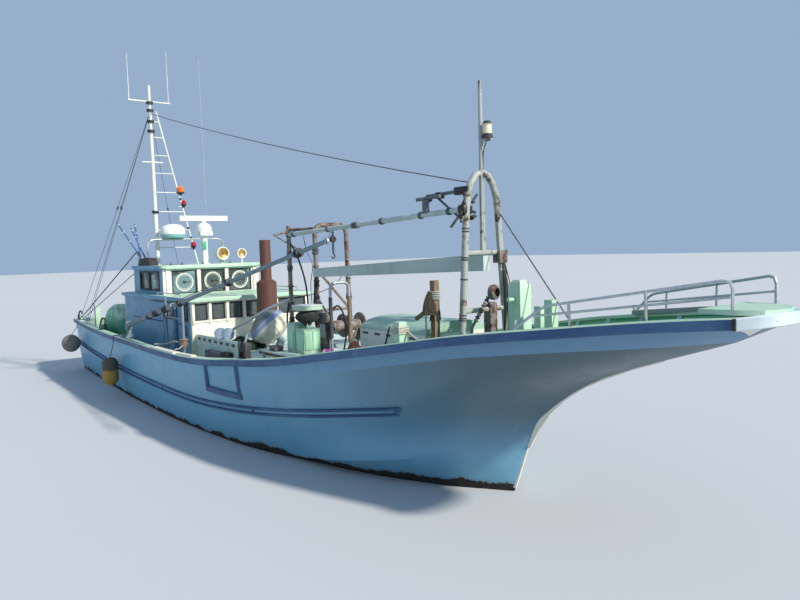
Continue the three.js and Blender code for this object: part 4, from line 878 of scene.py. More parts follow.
def house_trim():
    """Clear-view screens, pillars, sills, roof edges, door frames and stripes."""
    screens = Piece("clear_view_screens", "white", "white")
    for y in (-WHEEL_PITCH, 0, WHEEL_PITCH):
        centre = (WHEEL_FORE - .019, y, CLEAR_VIEW_Z)
        screens.use("white")
        for outer, inner, proud in ((CLEAR_VIEW_RADIUS, CLEAR_VIEW_RADIUS - .028, .028), (.17, .158, .016)):
            screens.lathe([(inner, 0), (inner, proud - .004), (inner + .004, proud), (outer - .004, proud),
                           (outer, proud - .004), (outer, 0)], centre, AHEAD, 40)
        screens.use("gasket").lathe([(0, 0), (.035, 0), (.035, .02), (.02, .03), (0, .03)], centre, AHEAD, 14)
        screens.box((WHEEL_FORE - .021, WHEEL_FORE - .012), (y - .03, y + .19),
                    (CLEAR_VIEW_Z - .012, CLEAR_VIEW_Z + .012), .002)
    screens.done()

    pillars = Piece("front_pillars", "cream", "white")
    wall = HOUSE_FORE - .004
    for k in range(8):
        y = max(min((k - 3.5) * FRONT_PITCH, HOUSE_HALF - .04), .04 - HOUSE_HALF)
        pillars.box((wall, HOUSE_FORE + .03), (y - .03, y + .03), (1.86, 2.325), .008)
    for y in (k * FRONT_PITCH for k in range(-3, 4)):
        for z in ((1.885, 1.915), (2.29, 2.325)):
            pillars.box((wall, HOUSE_FORE + .022), (y - .165, y + .165), z, .006)
    wall = WHEEL_FORE - .004
    for y in (-1.09, -.35, .35, 1.09):
        pillars.box((wall, WHEEL_FORE + .032), (y - .045, y + .045), (2.4, 2.985), .01)
    pillars.use("mint")
    for z, proud in (((2.345, 2.4), .045), ((2.945, 2.995), .03)):
        pillars.box((wall, WHEEL_FORE + proud), (-WHEEL_HALF, WHEEL_HALF), z, .008)
    pillars.done()

    roofs = Piece("roof_edges", "mint", "mint")
    for aft, fore, half, low, high in (
            (HOUSE_AFT - .06, HOUSE_FORE + .1, HOUSE_HALF + .06, HOUSE_TOP - .012, HOUSE_TOP + .075),
            (WHEEL_AFT - .06, WHEEL_FORE + .09, WHEEL_HALF + .06, WHEEL_TOP - .02, ROOF_TOP + .004)):
        roofs.use("mint").box((fore - .03, fore + .008), (.1 - half, half - .1), (low, high), .01)
        # The side and aft edges take the blue of the house's sides, painted shade; the front fascia is mint.
        roofs.use("side")
        for sign in (-1, 1):
            roofs.box((aft + .1, fore - .1), (sign * (half - .03), sign * (half + .008)), (low, high - .006),
                      .01)
        roofs.box((aft - .008, aft + .03), (.1 - half, half - .1), (low, high - .006), .01)
    roofs.done()

    trim = Piece("side_stripes_and_door_frames", "guard", "trim_blue")
    for sign in SIDE_WALLS.values():
        # Columns: look, ends in x and z, inner and outer face from the wall's, bevel
        for look, x, z, inside, outside, bevel in (
                ("guard", (-3.3, -1.18), (1.81, 1.85), -.003, .0035, .006),
                ("guard", (-.4, .06), (1.81, 1.85), -.003, .0035, .006),
                ("door_blue", (-1.2, -1.15), (.97, 2.3), -.003, .0035, .006),
                ("door_blue", (-.43, -.38), (.97, 2.3), -.003, .0035, .006),
                # a panel in the blue of the house's sides, painted shade
                ("side", (-.02, .36), (1.56, 1.86), -.003, .02, .006),
                ("door_blue", (.02, .24), (1.6, 1.82), .018, .028, .004),
                ("gasket", (-1.98, -.37), (1.038, 1.05), .045, .053, .002),
                ("gasket", (-1.98, -.37), (2.268, 2.28), .045, .053, .002)):
            trim.use(look).box(x, (sign * (HOUSE_HALF + inside), sign * (HOUSE_HALF + outside)), z, bevel)
    trim.done()

    for side, sign in SIDE_WALLS.items():
        door = Piece("door_fittings_" + side, "galvanised", "galvanised", "door_" + side)
        face = sign * (DOOR_FACE + DOOR_SLAB)
        grip = face + sign * .03
        handle = [(-.56, y, z) for y, z in ((face, 1.5), (grip, 1.5), (grip, 1.66), (face, 1.66))]
        door.tube(rounded(handle, .015, 3), .008, 8)
        door.use("door_blue")
        for x in ((-1.13, -1.1), (-.49, -.46)):
            door.box(x, (face, face + sign * .006), (1.02, 2.2), .002)
        door.done()


def roof_gear():
    """Lamps and small fittings on the roofs, and the searchlight's lens."""
    gear = Piece("roof_fittings", "black", "rubber")
    locker = ((-3.47, -1.16, 3.063), (-2.6, -1.16, 3.063), (-2.75, -1.14, 3.25), (-3.42, -1.14, 3.25))
    gear.skin([[(x, y + across, z) for x, y, z in locker] for across in (0, .2)])
    gear.use("steel")
    for y in (-.97, -.71, -.2, .5):
        gear.lathe([(0, 0), (.04, 0), (.04, .02), (.018, .035), (.018, .055), (.03, .065), (0, .07)],
                   (-1.72, y, ROOF_TOP), UP, 14)
    x, y, z, r = -1.75, .82, 3.3, .125
    gear.use("white").tube([(x, y, ROOF_TOP), (x, y, z - r + .01)], .022, 10)
    shade = [(0, -.1), (.06, -.1), (r, -.03), (r, .03), (r - .025, .03), (r - .025, .01)]
    gear.lathe(shade, (x, y, z), AHEAD, 28)
    gear.use("amber").lathe([(0, -.02), (r * .5, -.012), (r - .024, .012)], (x, y, z), AHEAD, 28)
    gear.use("galvanised")
    for y in (-HOUSE_HALF - .02, HOUSE_HALF + .02):
        gear.tube(rounded([(-1.5, y, 2.39), (-1.5, y, 2.47), (-.1, y, 2.47), (-.1, y, 2.39)], .05), .012, 8)
    gear.use("green_box").box((-1.87, -1.85), (-.13, -.03), (3.42, 3.62), .006)
    gear.use("white").box((-1.88, -1.78), (-.2, .12), (3.74, 3.86), .02)
    gear.done()

    lens = Piece("searchlight_face", "white", "white", "searchlight")
    x, y, z = -1.59, .26, 3.31
    for look, profile, sides in (
            ("white", [(.1, 0), (.146, 0), (.158, .008), (.158, .03), (.146, .036), (.13, .03), (.128, 0)],
             32),
            ("amber", [(0, .001), (.05, .002), (.1, .012), (.129, .024)], 32),
            ("gasket", [(0, .002), (.024, .002), (.02, .02), (0, .022)], 14)):
        lens.use(look).lathe(profile, (x, y, z), AHEAD, sides)
    lens.use("white")
    for side in (y - .166, y + .166):
        lens.tube([(x - .11, side, z), (x - .11, side, z - .13), (x - .11, y, z - .145)], .012, 8)
    lens.done()


# Mast and stern
def mast_gear():
    """Lamps on the ladder, collars on the mast, and thin wires to the stern."""
    gear = Piece("mast_lamps", "orange", "plastic")
    for look, y, z, r in (("orange", .05, 4.93, .09), ("red", .125, 4.62, .06), ("red", .33, 3.53, .065)):
        place = (-3.57, y, z)
        gear.use(look).lathe([(0, r * 1.7), (r * .6, r * 1.6), (r, r), (r, 0)], place, UP, 18)
        socket = [(r * 1.1, 0), (r * 1.1, -.03), (r * .5, -.05), (.02, -.09), (0, -.09)]
        gear.use("black").lathe(socket, place, UP, 18)
        gear.use("white").tube([(-3.595, y - .12, z - .07), (-3.57, y, z - .07)], .012, 6)
    gear.done()

    collars = Piece("mast_collars", "black", "rubber")
    for z, wide in ((7.12, .085), (6.93, .08), (6.66, .085), (6.42, .09), (4.4, .085)):
        collars.band((wide - .03, wide, .03, .03), (MAST_X, MAST_Y, z), UP, 16)
    collars.use("galvanised")
    for y in (-.45, -.85):
        collars.tube([(MAST_X, y, 7.16), (MAST_X, y, 7.38)], .012, 6)
    collars.done()

    wires = Piece("mast_wires", "wire", "dark_steel")
    top = Vector((MAST_X, MAST_Y, 6.9))
    for x, y, z in ((-7.95, -1.25, 1.52), (-7.2, -1.72, 1.51), (-6.3, -1.76, 1.52), (-7.6, 1.6, 1.51)):
        end = Vector((x, y, z))
        wires.tube([top, end], .006, 5)
        wires.lathe([(0, 0), (.022, .01), (.022, .09), (0, .1)], top.lerp(end, .42), end - top, 8)
    wires.use("dark_rope").tube([(-7.9, -1.5, 1.53), (-3.965, -1.018, 3.42)], .014, 6)
    wires.tube([(-7.3, -1.62, 1.53), (-4.007, -.807, 3.1)], .009, 6)
    wires.done()


def ladder():
    """The ladder beside the mast, whose outer rail carries the lamps."""
    piece = Piece("mast_ladder_rails", "white", "white")
    x, inner, foot, head = MAST_X - .095, MAST_Y + .03, ROOF_TOP, 6.95
    lean = .235
    outer = lambda z: -.06 + lean * (5.2 - z)
    for y0, y1 in ((inner, inner), (outer(foot), outer(head))):
        piece.tube([(x, y0, foot), (x, y1, head)], .02, 10)
    for z in (3.5, 3.95, 4.42, 4.91, 5.39, 5.84, 6.29, 6.68):
        piece.tube([(x, inner, z), (x, outer(z), z)], .012, 8)
    for z in (4.01, 5.9):
        piece.tube([(x, inner, z), (MAST_X, MAST_Y, z)], .014, 8)
    piece.use("black")
    for z in (3.6, 3.75, 4, 4.25, 4.55, 4.75):
        piece.band((.015, .03, .03, .02), (x, outer(z), z), (0, -lean, 1), 10)
    piece.done("mast_ladder")


def spars():
    """Three blue spars that lean on the back edge of the cabin's roof."""
    piece = Piece("leaning_spars", "pole_blue", "timber")
    for foot_y, top_y, top in ((.68, -1.5, 4.15), (.29, -1.16, 4.01), (-.5, -1.07, 4.12)):
        foot, tip = Vector((-4.3, foot_y, deck_z(-4.3))), Vector((-3.87, top_y, top))
        piece.use("pole_blue").tube([foot, foot.lerp(tip, .5), tip], .026, 10, end=.02)
        piece.use("white")
        for share in (.86, .93, .985):
            piece.band((.015, .027, .012, .008), foot.lerp(tip, share), tip - foot, 10)
    piece.use("dark_rope")
    foot, tip = Vector((-4.3, .68, .86)), Vector((-3.87, -1.5, 4.15))
    for k in range(5):
        piece.band((.02, .04, .012, .006), foot.lerp(tip, .74 + .008 * k), (.1, -.5, .75), 12)
    piece.done("spar_bundle")


def stern_gear():
    """Hooked davits, a plate and a pot by the stern, and boards on the rail."""
    gear = Piece("stern_davits", "black", "dark_steel")
    for x, y, size in ((-7.55, -1.66, .95), (-4.1, -1.98, 1.15)):
        foot = cap_top(x)
        gear.use("black").lathe([(.05, 0), (.05, .02), (.022, .03)], (x, y, foot), UP, 12)
        gear.bent([(x + ahead * size, y, foot + high * size) for ahead, high in
                   ((0, 0), (0, .1), (.06, .2), (.22, .27), (.38, .25), (.42, .2))], .021, 9)
        gear.use("dark_rope")
        for k in range(5):
            gear.lathe([(.03, -.012), (.04, 0), (.03, .012)], (x, y, foot + .03 + .022 * k), UP, 12)
    gear.use("plastic").box((-6.9, -6.62), (-1.86, -1.7), (cap_top(-6.8), cap_top(-6.8) + .03), .012)
    gear.lathe([(.07, 0), (.075, .09), (.05, .12), (0, .125)], (-7, -1.55, cap_top(-7) - .03), UP, 20)
    gear.done()

    boards = Piece("rail_boards", "cream", "white")
    for x0, x1, inset in ((.1, 1.3, .05), (1.38, 2.1, .02)):
        rows = []
        for x in (x0 + (x1 - x0) * k / 8 for k in range(9)):
            rim, top = -row_point("sheer", x).y, cap_top(x) + .001
            outer, inner = rim - inset + .005, rim + .085
            rows.append([(x, outer, top), (x, inner, top), (x, inner, top + .022), (x, outer, top + .022)])
        boards.skin(rows)
    boards.done()


# Casing and working deck
def hauler_drum():
    """The domed drum: a cream dome with ribs, a lilac rim and a dark top that is painted shade."""
    base, way = Vector((2.52, -.52, 1.69)), Vector((-.45, -.5, .74)).normalized()
    across, up = upright_frame(way)
    drum = Piece("net_hauler_drum", "drum_cream", "white", "hauler_drum")
    for look, profile, sides in (
            # the top cap in dark grey, painted shade
            ("drum_grey", [(.342, .385), (.292, .45), (.192, .52), (.092, .553), (0, .558)], 56),
            ("drum_blue", [(.381, .285), (.377, .3), (.365, .345), (.352, .372), (.342, .385)], 56),
            ("drum_cream", [(0, .002), (.1, .002), (.15, .004), (.25, .045), (.345, .185), (.378, .232),
                            (.381, .285)], 56),
            ("brown_steel", [(0, .55), (.075, .55), (.075, .575), (.05, .585), (0, .586)], 20)):
        drum.use(look).lathe(profile, base, way, sides)
    for a in (math.tau * k / 12 for k in range(12)):
        out = across * math.cos(a) + up * math.sin(a)
        for look, rib, radius in (("drum_cream", ((.16, .012), (.252, .05), (.34, .18)), .012),
                                  ("brown_steel", ((.342, .383), (.296, .445), (.1, .55)), .006)):
            drum.use(look).tube([base + way * h + out * r for r, h in rib], radius, 6)
    for place in circle(base + way * .573, across, up, .055, 6):
        drum.lathe([(0, 0), (.01, 0), (.01, .012), (.006, .0156), (0, .0156)], place, way, 6)
    drum.done("hauler_drum")


def casing_gear():
    """What lies on and hangs from the casing."""
    side = -CASING_HALF
    cover = Piece("casing_side_box", "purple_grey", "grey_steel")
    cover.box((1.12, 1.86), (side - .13, side + .002), (1.12, 1.42), .02)
    # a black box stands for a shaded recess in the casing's side: painted shade
    cover.use("black").box((1.88, 2.18), (side - .13, side + .002), (1.08, 1.45), .02)
    cover.done()

    discs = Piece("line_discs", "disc_blue", "grey_steel")
    for x, z in ((1.42, 1.74), (1.78, 1.76)):
        discs.use("disc_blue").lathe([(0, 0), (.06, 0), (.108, .015), (.12, .03), (.12, .05), (.108, .065),
                                      (.06, .07), (0, .07)], (x, -1.2, z), (.85, -.5, .1), 28)
        discs.use("brown_steel").tube([(x + .03, -1.22, z), (x + .03, -1.22, CASING_TOP)], .018, 8)
    discs.done()

    heap = Piece("green_net_heap", "green_net", "tarpaulin")
    lumps(heap, [(1.95, -1.02, CASING_TOP, .3, .2, .2), (2.3, -1.06, CASING_TOP, .22, .16, .15),
                 (1.66, -1, CASING_TOP, .2, .18, .12), (2.1, -.8, CASING_TOP, .28, .16, .14)], 4)
    heap.done()

    pipe = Piece("casing_pipe", "galvanised", "galvanised")
    pipe.bent([(1.55, -1.1, CASING_TOP), (1.6, -1.1, 1.7), (1.75, -1.1, 1.83), (2.3, -1.04, 2.03),
               (2.8, -.86, 2.27), (3.2, -.6, 2.45)], .026, 10)
    # a black strip behind the pierced rail paints the shade seen through its holes
    pipe.use("black").box((.43, 2.84), (-1.262, -1.25), (1.54, 1.62), .002)
    pipe.done()

    roller = Piece("rail_roller", "black", "rubber")
    x = 4.02
    y, foot = .03 - row_point("sheer", x).y, cap_top(x)
    roller.box((x - .14, x + .14), (y - .06, y + .07), (foot, foot + .03), .008)
    for cheek in (x - .11, x + .11):
        roller.box((cheek - .02, cheek + .02), (y - .05, y + .05), (foot + .02, foot + .26), .008)
    roller.lathe([(0, -.09), (.05, -.09), (.062, -.06), (.045, 0), (.062, .06), (.05, .09), (0, .09)],
                 (x, y, foot + .15), AHEAD, 20)
    roller.use("galvanised").tube([(x, y + .02, foot + .26), (x + .02, y + .06, foot + .4)], .02, 8)
    roller.done()

    clamp = Piece("boom_rest_lashing", "clamp_pink", "timber")
    x, y, rim = .65, -1.655, cap_top(.65)
    for k in range(6):
        wide, place = .055 + .014 * (k % 3), (x, y, rim + .02 + .03 * k)
        clamp.lathe([(.03, -.018), (wide, -.01), (wide + .005, .008), (.03, .018)], place, UP, 16)
    clamp.use("rope").bent([(x, y, rim + .08), (x - .25, y - .1, rim + .12), (x - .6, y - .16, rim + .05),
                            (x - .85, -1.96, rim + .035)], .014, 7)
    clamp.bent([(x + .02, y, rim + .1), (x + .1, y - .12, rim + .02), (x + .3, -1.95, rim + .03)], .012, 7)
    clamp.done()

    boards = Piece("shelf_boards", "cream", "mint")
    for x, look in ((3.34, "cream"), (3.5, "brown_steel"), (3.6, "white"), (3.78, "cream"),
                    (3.92, "brown_steel"), (4.06, "cream"), (4.2, "white")):
        boards.use(look).box((x - .05, x + .05), (side - .036, side - .002), (.95, CASING_TOP + .05), .006)
    boards.use("rust").box((3.32, 4.28), (side - .05, side - .03), (CASING_TOP + .06, CASING_TOP + .1), .006)
    boards.done()


# Places of two posts of the gantry, and the paths of the hoses and wires round them
GANTRY_AFT, GANTRY_FORE = (3.2, -.6), (3.8, -.42)
HOSES = (
    [(*GANTRY_FORE, 2.95), (3.86, -.5, 2.6), (3.95, -.58, 2.2), (4.02, -.56, 1.9), (4.05, -.5, 1.74)],
    [(*GANTRY_FORE, 2.5), (3.92, -.3, 2.2), (4.1, -.28, 1.95), (4.12, -.4, 1.8)],
    [(*GANTRY_AFT, 3.5), (3.35, -.52, 3.2), (3.5, -.46, 2.7), (3.62, -.5, 2.1), (3.66, -.55, 1.52)],
    [(*GANTRY_AFT, 2.6), (3.08, -.62, 2.2), (3.1, -.64, 1.9), (3.2, -.66, 1.52)],
    [(4.1, -.42, 2.2), (4.3, -.3, 2.35), (4.36, -.2, 2), (4.3, -.22, 1.6), (4.28, -.25, 1.5)],
)
WIRES = (
    [(*GANTRY_AFT, 3.45), (3.5, -.52, 3.32), (*GANTRY_FORE, 3.4)],
    [(3.3, -.36, 3.6), (3.34, -.32, 3.3), (3.42, -.26, 3.05), (3.4, -.3, 2.7), (3.42, -.3, 2.3)],
    [(3.8, -.1, 3.7), (3.79, -.12, 3.55), (3.72, -.3, 3.38), (3.5, -.5, 3.3), (*GANTRY_AFT, 3.2)],
    [(3.8, .23, 3), (3.7, .1, 2.75), (3.6, -.1, 2.6), (3.4, -.4, 2.5), (*GANTRY_AFT, 2.52)],
)


def cabinet_gear():
    """Doors, cover, motors and hoses round the electric cabinets and the gantry's foot."""
    doors = Piece("cabinet_doors", "mint_bright", "mint")
    for y0, y1 in ((-1, -.9), (-.885, -.78)):
        doors.use("mint_bright").box((4.021, 4.035), (y0, y1), (1.68, 2.05), .005)
        doors.use("gasket").box((4.02, 4.027), (y1 + .002, y1 + .012), (1.68, 2.05), .001)
    doors.use("mint_bright")
    for y in ((-1, -.87), (-.85, -.72)):
        doors.box((4.321, 4.335), y, (1.66, 1.97), .005)
    for x in ((3.79, 3.98), (4.1, 4.29)):
        doors.box(x, (-1.034, -1.021), (1.66, 1.96), .005)
    doors.use("plastic").box((3.95, 4.33), (-1.03, -.63), (2.388, 2.402), .005)
    doors.done()

    bag = Piece("hanging_bag", "grey_net", "tarpaulin")
    sections = []
    for t in (k / 8 for k in range(9)):
        r = .05 + .1 * math.sin(math.pi * min(t * 1.15, 1)) ** .7
        ring = []
        for a in (math.tau * i / 16 for i in range(16)):
            across = 1.4 * math.sin(a) * (1 + .1 * math.sin(3 * a))
            ring.append((4.14 + r * 1.1 * math.cos(a), r * across - .83, 2.32 - .26 * t))
        sections.append(ring)
    bag.skin(sections)
    bag.done()

    motors = Piece("deck_motors", "brown_steel", "rusty_steel")
    foot = CASING_TOP
    motors.lathe([(0, 0), (.09, 0), (.1, .03), (.1, .16), (.07, .2), (0, .2)], (4.1, -.42, 2.14),
                 (.3, -.9, .1), 20)
    motors.tube([(4.1, -.42, 2.1), (4.1, -.42, foot)], .035, 10)
    motors.use("black").lathe([(0, 0), (.11, 0), (.13, .03), (.13, .2), (.08, .26), (0, .26)],
                              (4.05, -.5, foot + .2), (.5, -.85, 0), 20)
    motors.box((3.92, 4.2), (-.6, -.38), (foot, foot + .12), .01)
    motors.use("rust").box((3.5, 3.72), (-1.24, -1.08), (foot + .11, foot + .2), .01)
    motors.done()

    hoses = Piece("gantry_hoses", "black", "rubber")
    for look, paths, radius, sides in (("black", HOSES, .016, 8), ("wire", WIRES, .008, 6)):
        for points in paths:
            hoses.use(look).bent(points, radius, sides, 5)
    hoses.done()

    lashings = Piece("gantry_lashings", "dark_rope", "dark_steel")
    rng = random.Random(9)
    for x, y, radius, z, top in ((*GANTRY_AFT, .04, 1.55, 3.62), (*GANTRY_FORE, .042, 1.9, 3.55),
                                 (3.8, .25, .042, 2, 3.4)):
        while z < top:
            for k in range(rng.randint(2, 6)):
                lashings.use(rng.choice(("dark_rope", "rust", "rope", "dark_rope")))
                turn = (radius - .01, radius + rng.uniform(.004, .022), .012, .008)
                way = (.08 * rng.uniform(-1, 1), .08 * rng.uniform(-1, 1), 1)
                lashings.band(turn, (x, y, z + .022 * k), way, 12)
            z += rng.uniform(.22, .5)
    lashings.use("black")
    for z in (3.58, 3.3):
        lashings.chain((3.8, -.05, z + .14), (3.8, -.05, z - .05), .035, .007)
        lashings.bent([(3.8, -.05, z - .05), (3.8, -.02, z - .1), (3.8, -.05, z - .14), (3.8, -.09, z - .11)],
                      .012, 8)
    lashings.lathe([(0, -.03), (.055, -.03), (.06, -.01), (.045, 0), (.06, .01), (.055, .03), (0, .03)],
                   (3.8, -.05, 3.5), AHEAD, 18)
    lashings.use("rust").tube([(3.2, -.9, 3.6), (*GANTRY_AFT, 3.66)], .02, 8)
    lashings.tube([(3.2, -.62, 3.45), (3.2, -.9, 3.6)], .01, 6)
    lashings.done()


# Foredeck and fore frame
def net_hoop():
    """A low bent tube aft of the foredeck's step that leads the net."""
    x, y0, y1, top, foot = 4.2, -.4, -.02, 2.745, deck_foot(4.2)
    hoop = Piece("net_hoop", "galvanised", "galvanised")
    hoop.tube(rounded([(x, y0, foot), (x, y0, top), (x, y1, top), (x, y1, foot)], .13, 8), .027, 12)
    hoop.use("dark_rope").tube([(x, y0, 1.8), (x, y0, 2.5)], .034, 12)
    hoop.use("timber").tube([(x, y1, 1.7), (x, y1, 2.5)], .033, 12)
    hoop.done()


def upper_beam():
    """The tube between the two frames, with clips, a slim foot and a dark roller."""
    start, end = Vector((*GANTRY_AFT, 3.6)), Vector((FRAME_X, -.31, 3.8))
    way = (end - start).normalized()
    beam = Piece("upper_beam_tube", "beam", "grey_steel")
    beam.tube([start, end - way * .03], .038, 16)
    beam.use("frame_dark")
    for share in (.04, .28, .44, .46, .6, .8, .93):
        beam.band((.03, .052, .03, .025), start.lerp(end, share), way, 14)
    beam.box((6.7, 6.8), (-.4, -.34), (3.78, 3.97), .01)
    beam.tube([(6.56, -.372, 3.985), (7.02, -.335, 4.01)], .026, 12)
    beam.use("black").band((.02, .05, .05, .04), start.lerp(end, .455), way, 14)
    beam.done("upper_beam")


def fore_frame_gear():
    """The arm with its block and brace, tackle, hoses and a stay on the fore frame."""
    arm = Piece("fore_frame_arm", "frame_dark", "grey_steel")
    arm.tube([(6.64, -.25, 4.03), (FRAME_X, -.25, 4.06)], .026, 12)
    arm.tube([(6.82, -.25, 4.03), (7.47, -.3, 3.62)], .017, 10)
    arm.use("black").box((7.25, 7.53), (-.3, -.2), (4, 4.11), .02)
    arm.lathe([(0, -.03), (.05, -.03), (.055, 0), (.05, .03), (0, .03)], (6.68, -.25, 4), PORT, 16)
    arm.box((6.86, 6.98), (-.29, -.21), (3.98, 4.07), .01)
    arm.bent([(7.4, -.25, 4.02), (7.42, -.24, 3.9), (7.46, -.22, 3.8), (7.47, -.25, 3.7)], .012, 7)
    arm.done()

    tackle = Piece("frame_tackle", "black", "rubber")
    rng = random.Random(21)
    for _ in range(15):
        y, z = rng.uniform(-.4, -.14), rng.uniform(3.7, 3.9)
        end = (FRAME_X + rng.uniform(-.1, .04), y + rng.uniform(-.16, .12), z + rng.uniform(-.14, .12))
        middle = (7.46, y + .02, z + rng.uniform(-.05, .05))
        tackle.use(rng.choice(("black", "dark_rope", "wire")))
        tackle.bent([(7.52, y, z), middle, end], rng.uniform(.012, .026), 7, 4)
    tackle.use("black").bent([(FRAME_X, -.36, 3.78), (FRAME_X, -.46, 3.68), (FRAME_X, -.58, 3.56)], .018, 7)
    tackle.box((7.4, 7.54), (-.38, -.22), (3.72, 3.86), .03)
    tackle.done()

    deck = deck_z(FRAME_X)
    port = Piece("frame_port_gear", "rust", "rusty_steel")
    port.box((7.44, 7.58), (.24, .4), (3.06, 3.24), .012)
    port.box((7.42, 7.56), (.06, .2), (deck, 2.52), .015)
    head, knee = Vector((FRAME_X, .2, 2.73)), Vector((FRAME_X, -.24, 2.2))
    port.use("brown_steel").tube([head, knee, (FRAME_X, -.3, deck)], .02, 8)
    for k in range(12):
        port.use("rope" if k % 2 else "dark_rope")
        port.band((.01, .034, .012, .006), head.lerp(knee, .06 + .07 * k), (0, -.44, -.53), 10)
    port.use("rust").lathe([(.06, 0), (.1, .02), (.11, .06), (.1, .1), (.06, .12)], (FRAME_X, .12, 2.66),
                           (1, .2, 0), 18)
    port.use("black")
    for shift, low in ((0, 0), (.05, .12), (-.04, .2)):
        port.bent([(7.53, .36 + shift * .4, 3.05), (7.56, .4 + shift, 2.7), (7.54, .42 + shift, 2.35),
                   (7.52, .41 + shift, deck + low)], .019, 8)
    port.use("rope").bent([(7.52, .3, 2.98), (7.54, .38, 2.92), (7.56, .42, 2.76), (7.55, .42, 2.5)], .015, 8)
    port.use("dark_rope")
    for z in (1.98, 2.01, 2.05, 2.31, 2.34, 2.38, 2.86, 3.12, 3.15, 3.5, 3.54):
        y = .15 * (z - deck) / (3.75 - deck) - .45
        port.band((.03, .054, .014, .008), (FRAME_X, y, z), (0, .08, 1), 12)
    port.done()

    stay = Piece("frame_stay", "wire", "dark_steel")
    stay.tube([(FRAME_X, .31, 3.78), (9.22, -.06, deck_z(9.22) + .01)], .009, 7)
    stay.use("galvanised").lathe([(0, 0), (.05, 0), (.05, .012), (.02, .02), (.02, .06), (0, .065)],
                                 (9.23, -.06, deck_z(9.23)), UP, 14)
    stay.done()


def lantern_gear():
    """The glass and the cable of the lantern on the fore pole."""
    x, z = 7.625, 4.74
    lamp = Piece("lantern_glass", "clear", "plastic")
    lamp.lathe([(.052, .05), (.056, .07), (.056, .15), (.05, .17)], (x, 0, z), UP, 20)
    lamp.use("black").bent([(x, 0, z), (x - .03, 0, z - .06), (7.54, 0, z - .2), (7.53, 0, 4.2)], .007, 6)
    lamp.done()


def square_turns(piece, centre, turns):
    """Turns of rope around a square post."""
    x, y, z = centre
    for k in range(turns):
        piece.tube([(x + .075 * a, y + .075 * b, z + .027 * k)
                    for a, b in ((1, 1), (-1, 1), (-1, -1), (1, -1), (1, 1))], .013, 8)


def foredeck_gear():
    """Slots in the trunk painted dark as shade, nets and cloth beside it, cords round the net post, ropes and
    a plank.
    """
    slots = Piece("trunk_slots", "gasket", "rubber")
    # dark boxes paint the shade in the trunk's slots
    for x, width in ((5.5, .14), (5.8, .14), (6.08, .1), (6.38, .05), (6.66, .16)):
        slots.box((x - width / 2, x + width / 2), (-.606, -.598), (2, 2.032), .002)
    slots.use("brown_steel").tube([(5.3, -.612, 1.66), (5.3, -.612, 2.04)], .012, 6)
    slots.done()

    heap = Piece("red_net_heap", "red_net", "rusty_steel")
    deck = deck_z(6.1)
    lumps(heap, [(6.05, -1.2, deck - .02, .26, .2, .42), (6.3, -1.1, deck, .18, .18, .3),
                 (5.85, -1.05, deck - .02, .2, .2, .3), (5.5, -1.3, deck_z(5.5), .16, .16, .36)], 8, .35)
    heap.done()
    cloth = Piece("faded_cloths", "pink", "tarpaulin")
    lumps(cloth, [(5.62, -1.42, deck_z(5.6) + .02, .18, .14, .34),
                  (6.42, -1.25, deck_z(6.4), .2, .12, .22)], 13, .4)
    lumps(cloth.use("purple"), [(5.78, -1.42, deck_z(5.7) + .01, .12, .12, .36)], 14, .4)
    cloth.done()
    rods = Piece("leaning_rods", "black", "dark_steel")
    rods.tube([(6.45, -1.05, deck_z(6.45)), (6.2, -.66, 2.16)], .014, 8)
    rods.use("timber").tube([(5.36, -1, deck_z(5.36)), (5.4, -.66, 2.14)], .02, 8)
    rods.done()

    cords = Piece("net_post_cords", "brown_net", "timber")
    lumps(cords, [(7.1, -.66, 2.38, .07, .09, .3), (7.1, -.55, 2.3, .06, .08, .24)], 31, .4)
    cords.use("rope").bent([(7.1, -.56, 2.7), (7.05, -.66, 2.5), (6.98, -.62, 2.1), (6.95, -.62, 1.76)],
                           .012, 7)
    for k in range(5):
        cords.band((.05, .078, .01, .005), (7.105, -.555, 2.6 + .024 * k), UP, 12)
    cords.done()

    ropes = Piece("foredeck_ropes", "rope", "timber")
    square_turns(ropes, (8.67, 0, 2.2), 3)
    on_deck = lambda x, y, above=.02: (x, y, deck_z(x) + above)
    ropes.bent([(8.76, -.06, 2.2), on_deck(8.9, -.3), on_deck(9.2, -.55), on_deck(9.5, -.6),
                on_deck(9.8, -.35), on_deck(10, 0)], .016, 8)
    ropes.bent([(7.33, -1.28, 2.28), (7.6, -1.3, 2.16), (8, -1.25, 2.06), on_deck(8.4, -1.1, .03),
                on_deck(8.7, -.8)], .014, 8)
    square_turns(ropes, (7.33, -1.35, 2.22), 4)
    ropes.done()

    plank = Piece("port_plank", "plank_grey", "timber")
    plank.skin([[(x, y + across, cap_top(x) + high)
                 for across, high in ((-.06, .002), (.06, .002), (.06, .05), (-.06, .05))]
                for x, y in ((9.2, .98), (10.2, .74), (11.35, .3))])
    plank.done()


# Places on the stem's edge. Columns: x, z.
STEM_LINE = [(8.02, .05), (8.25, .65), (8.29, .67), (8.44, .93), (8.62, 1.17), (8.87, 1.39), (9.16, 1.58),
             (9.45, 1.72), (9.83, 1.88), (10.2, 2.01)]


def both_sides(half):
    """A plan from starboard round the bow to port. The half holds x and half-breadth."""
    return [(x, -y) for x, y in half] + half[-2::-1]


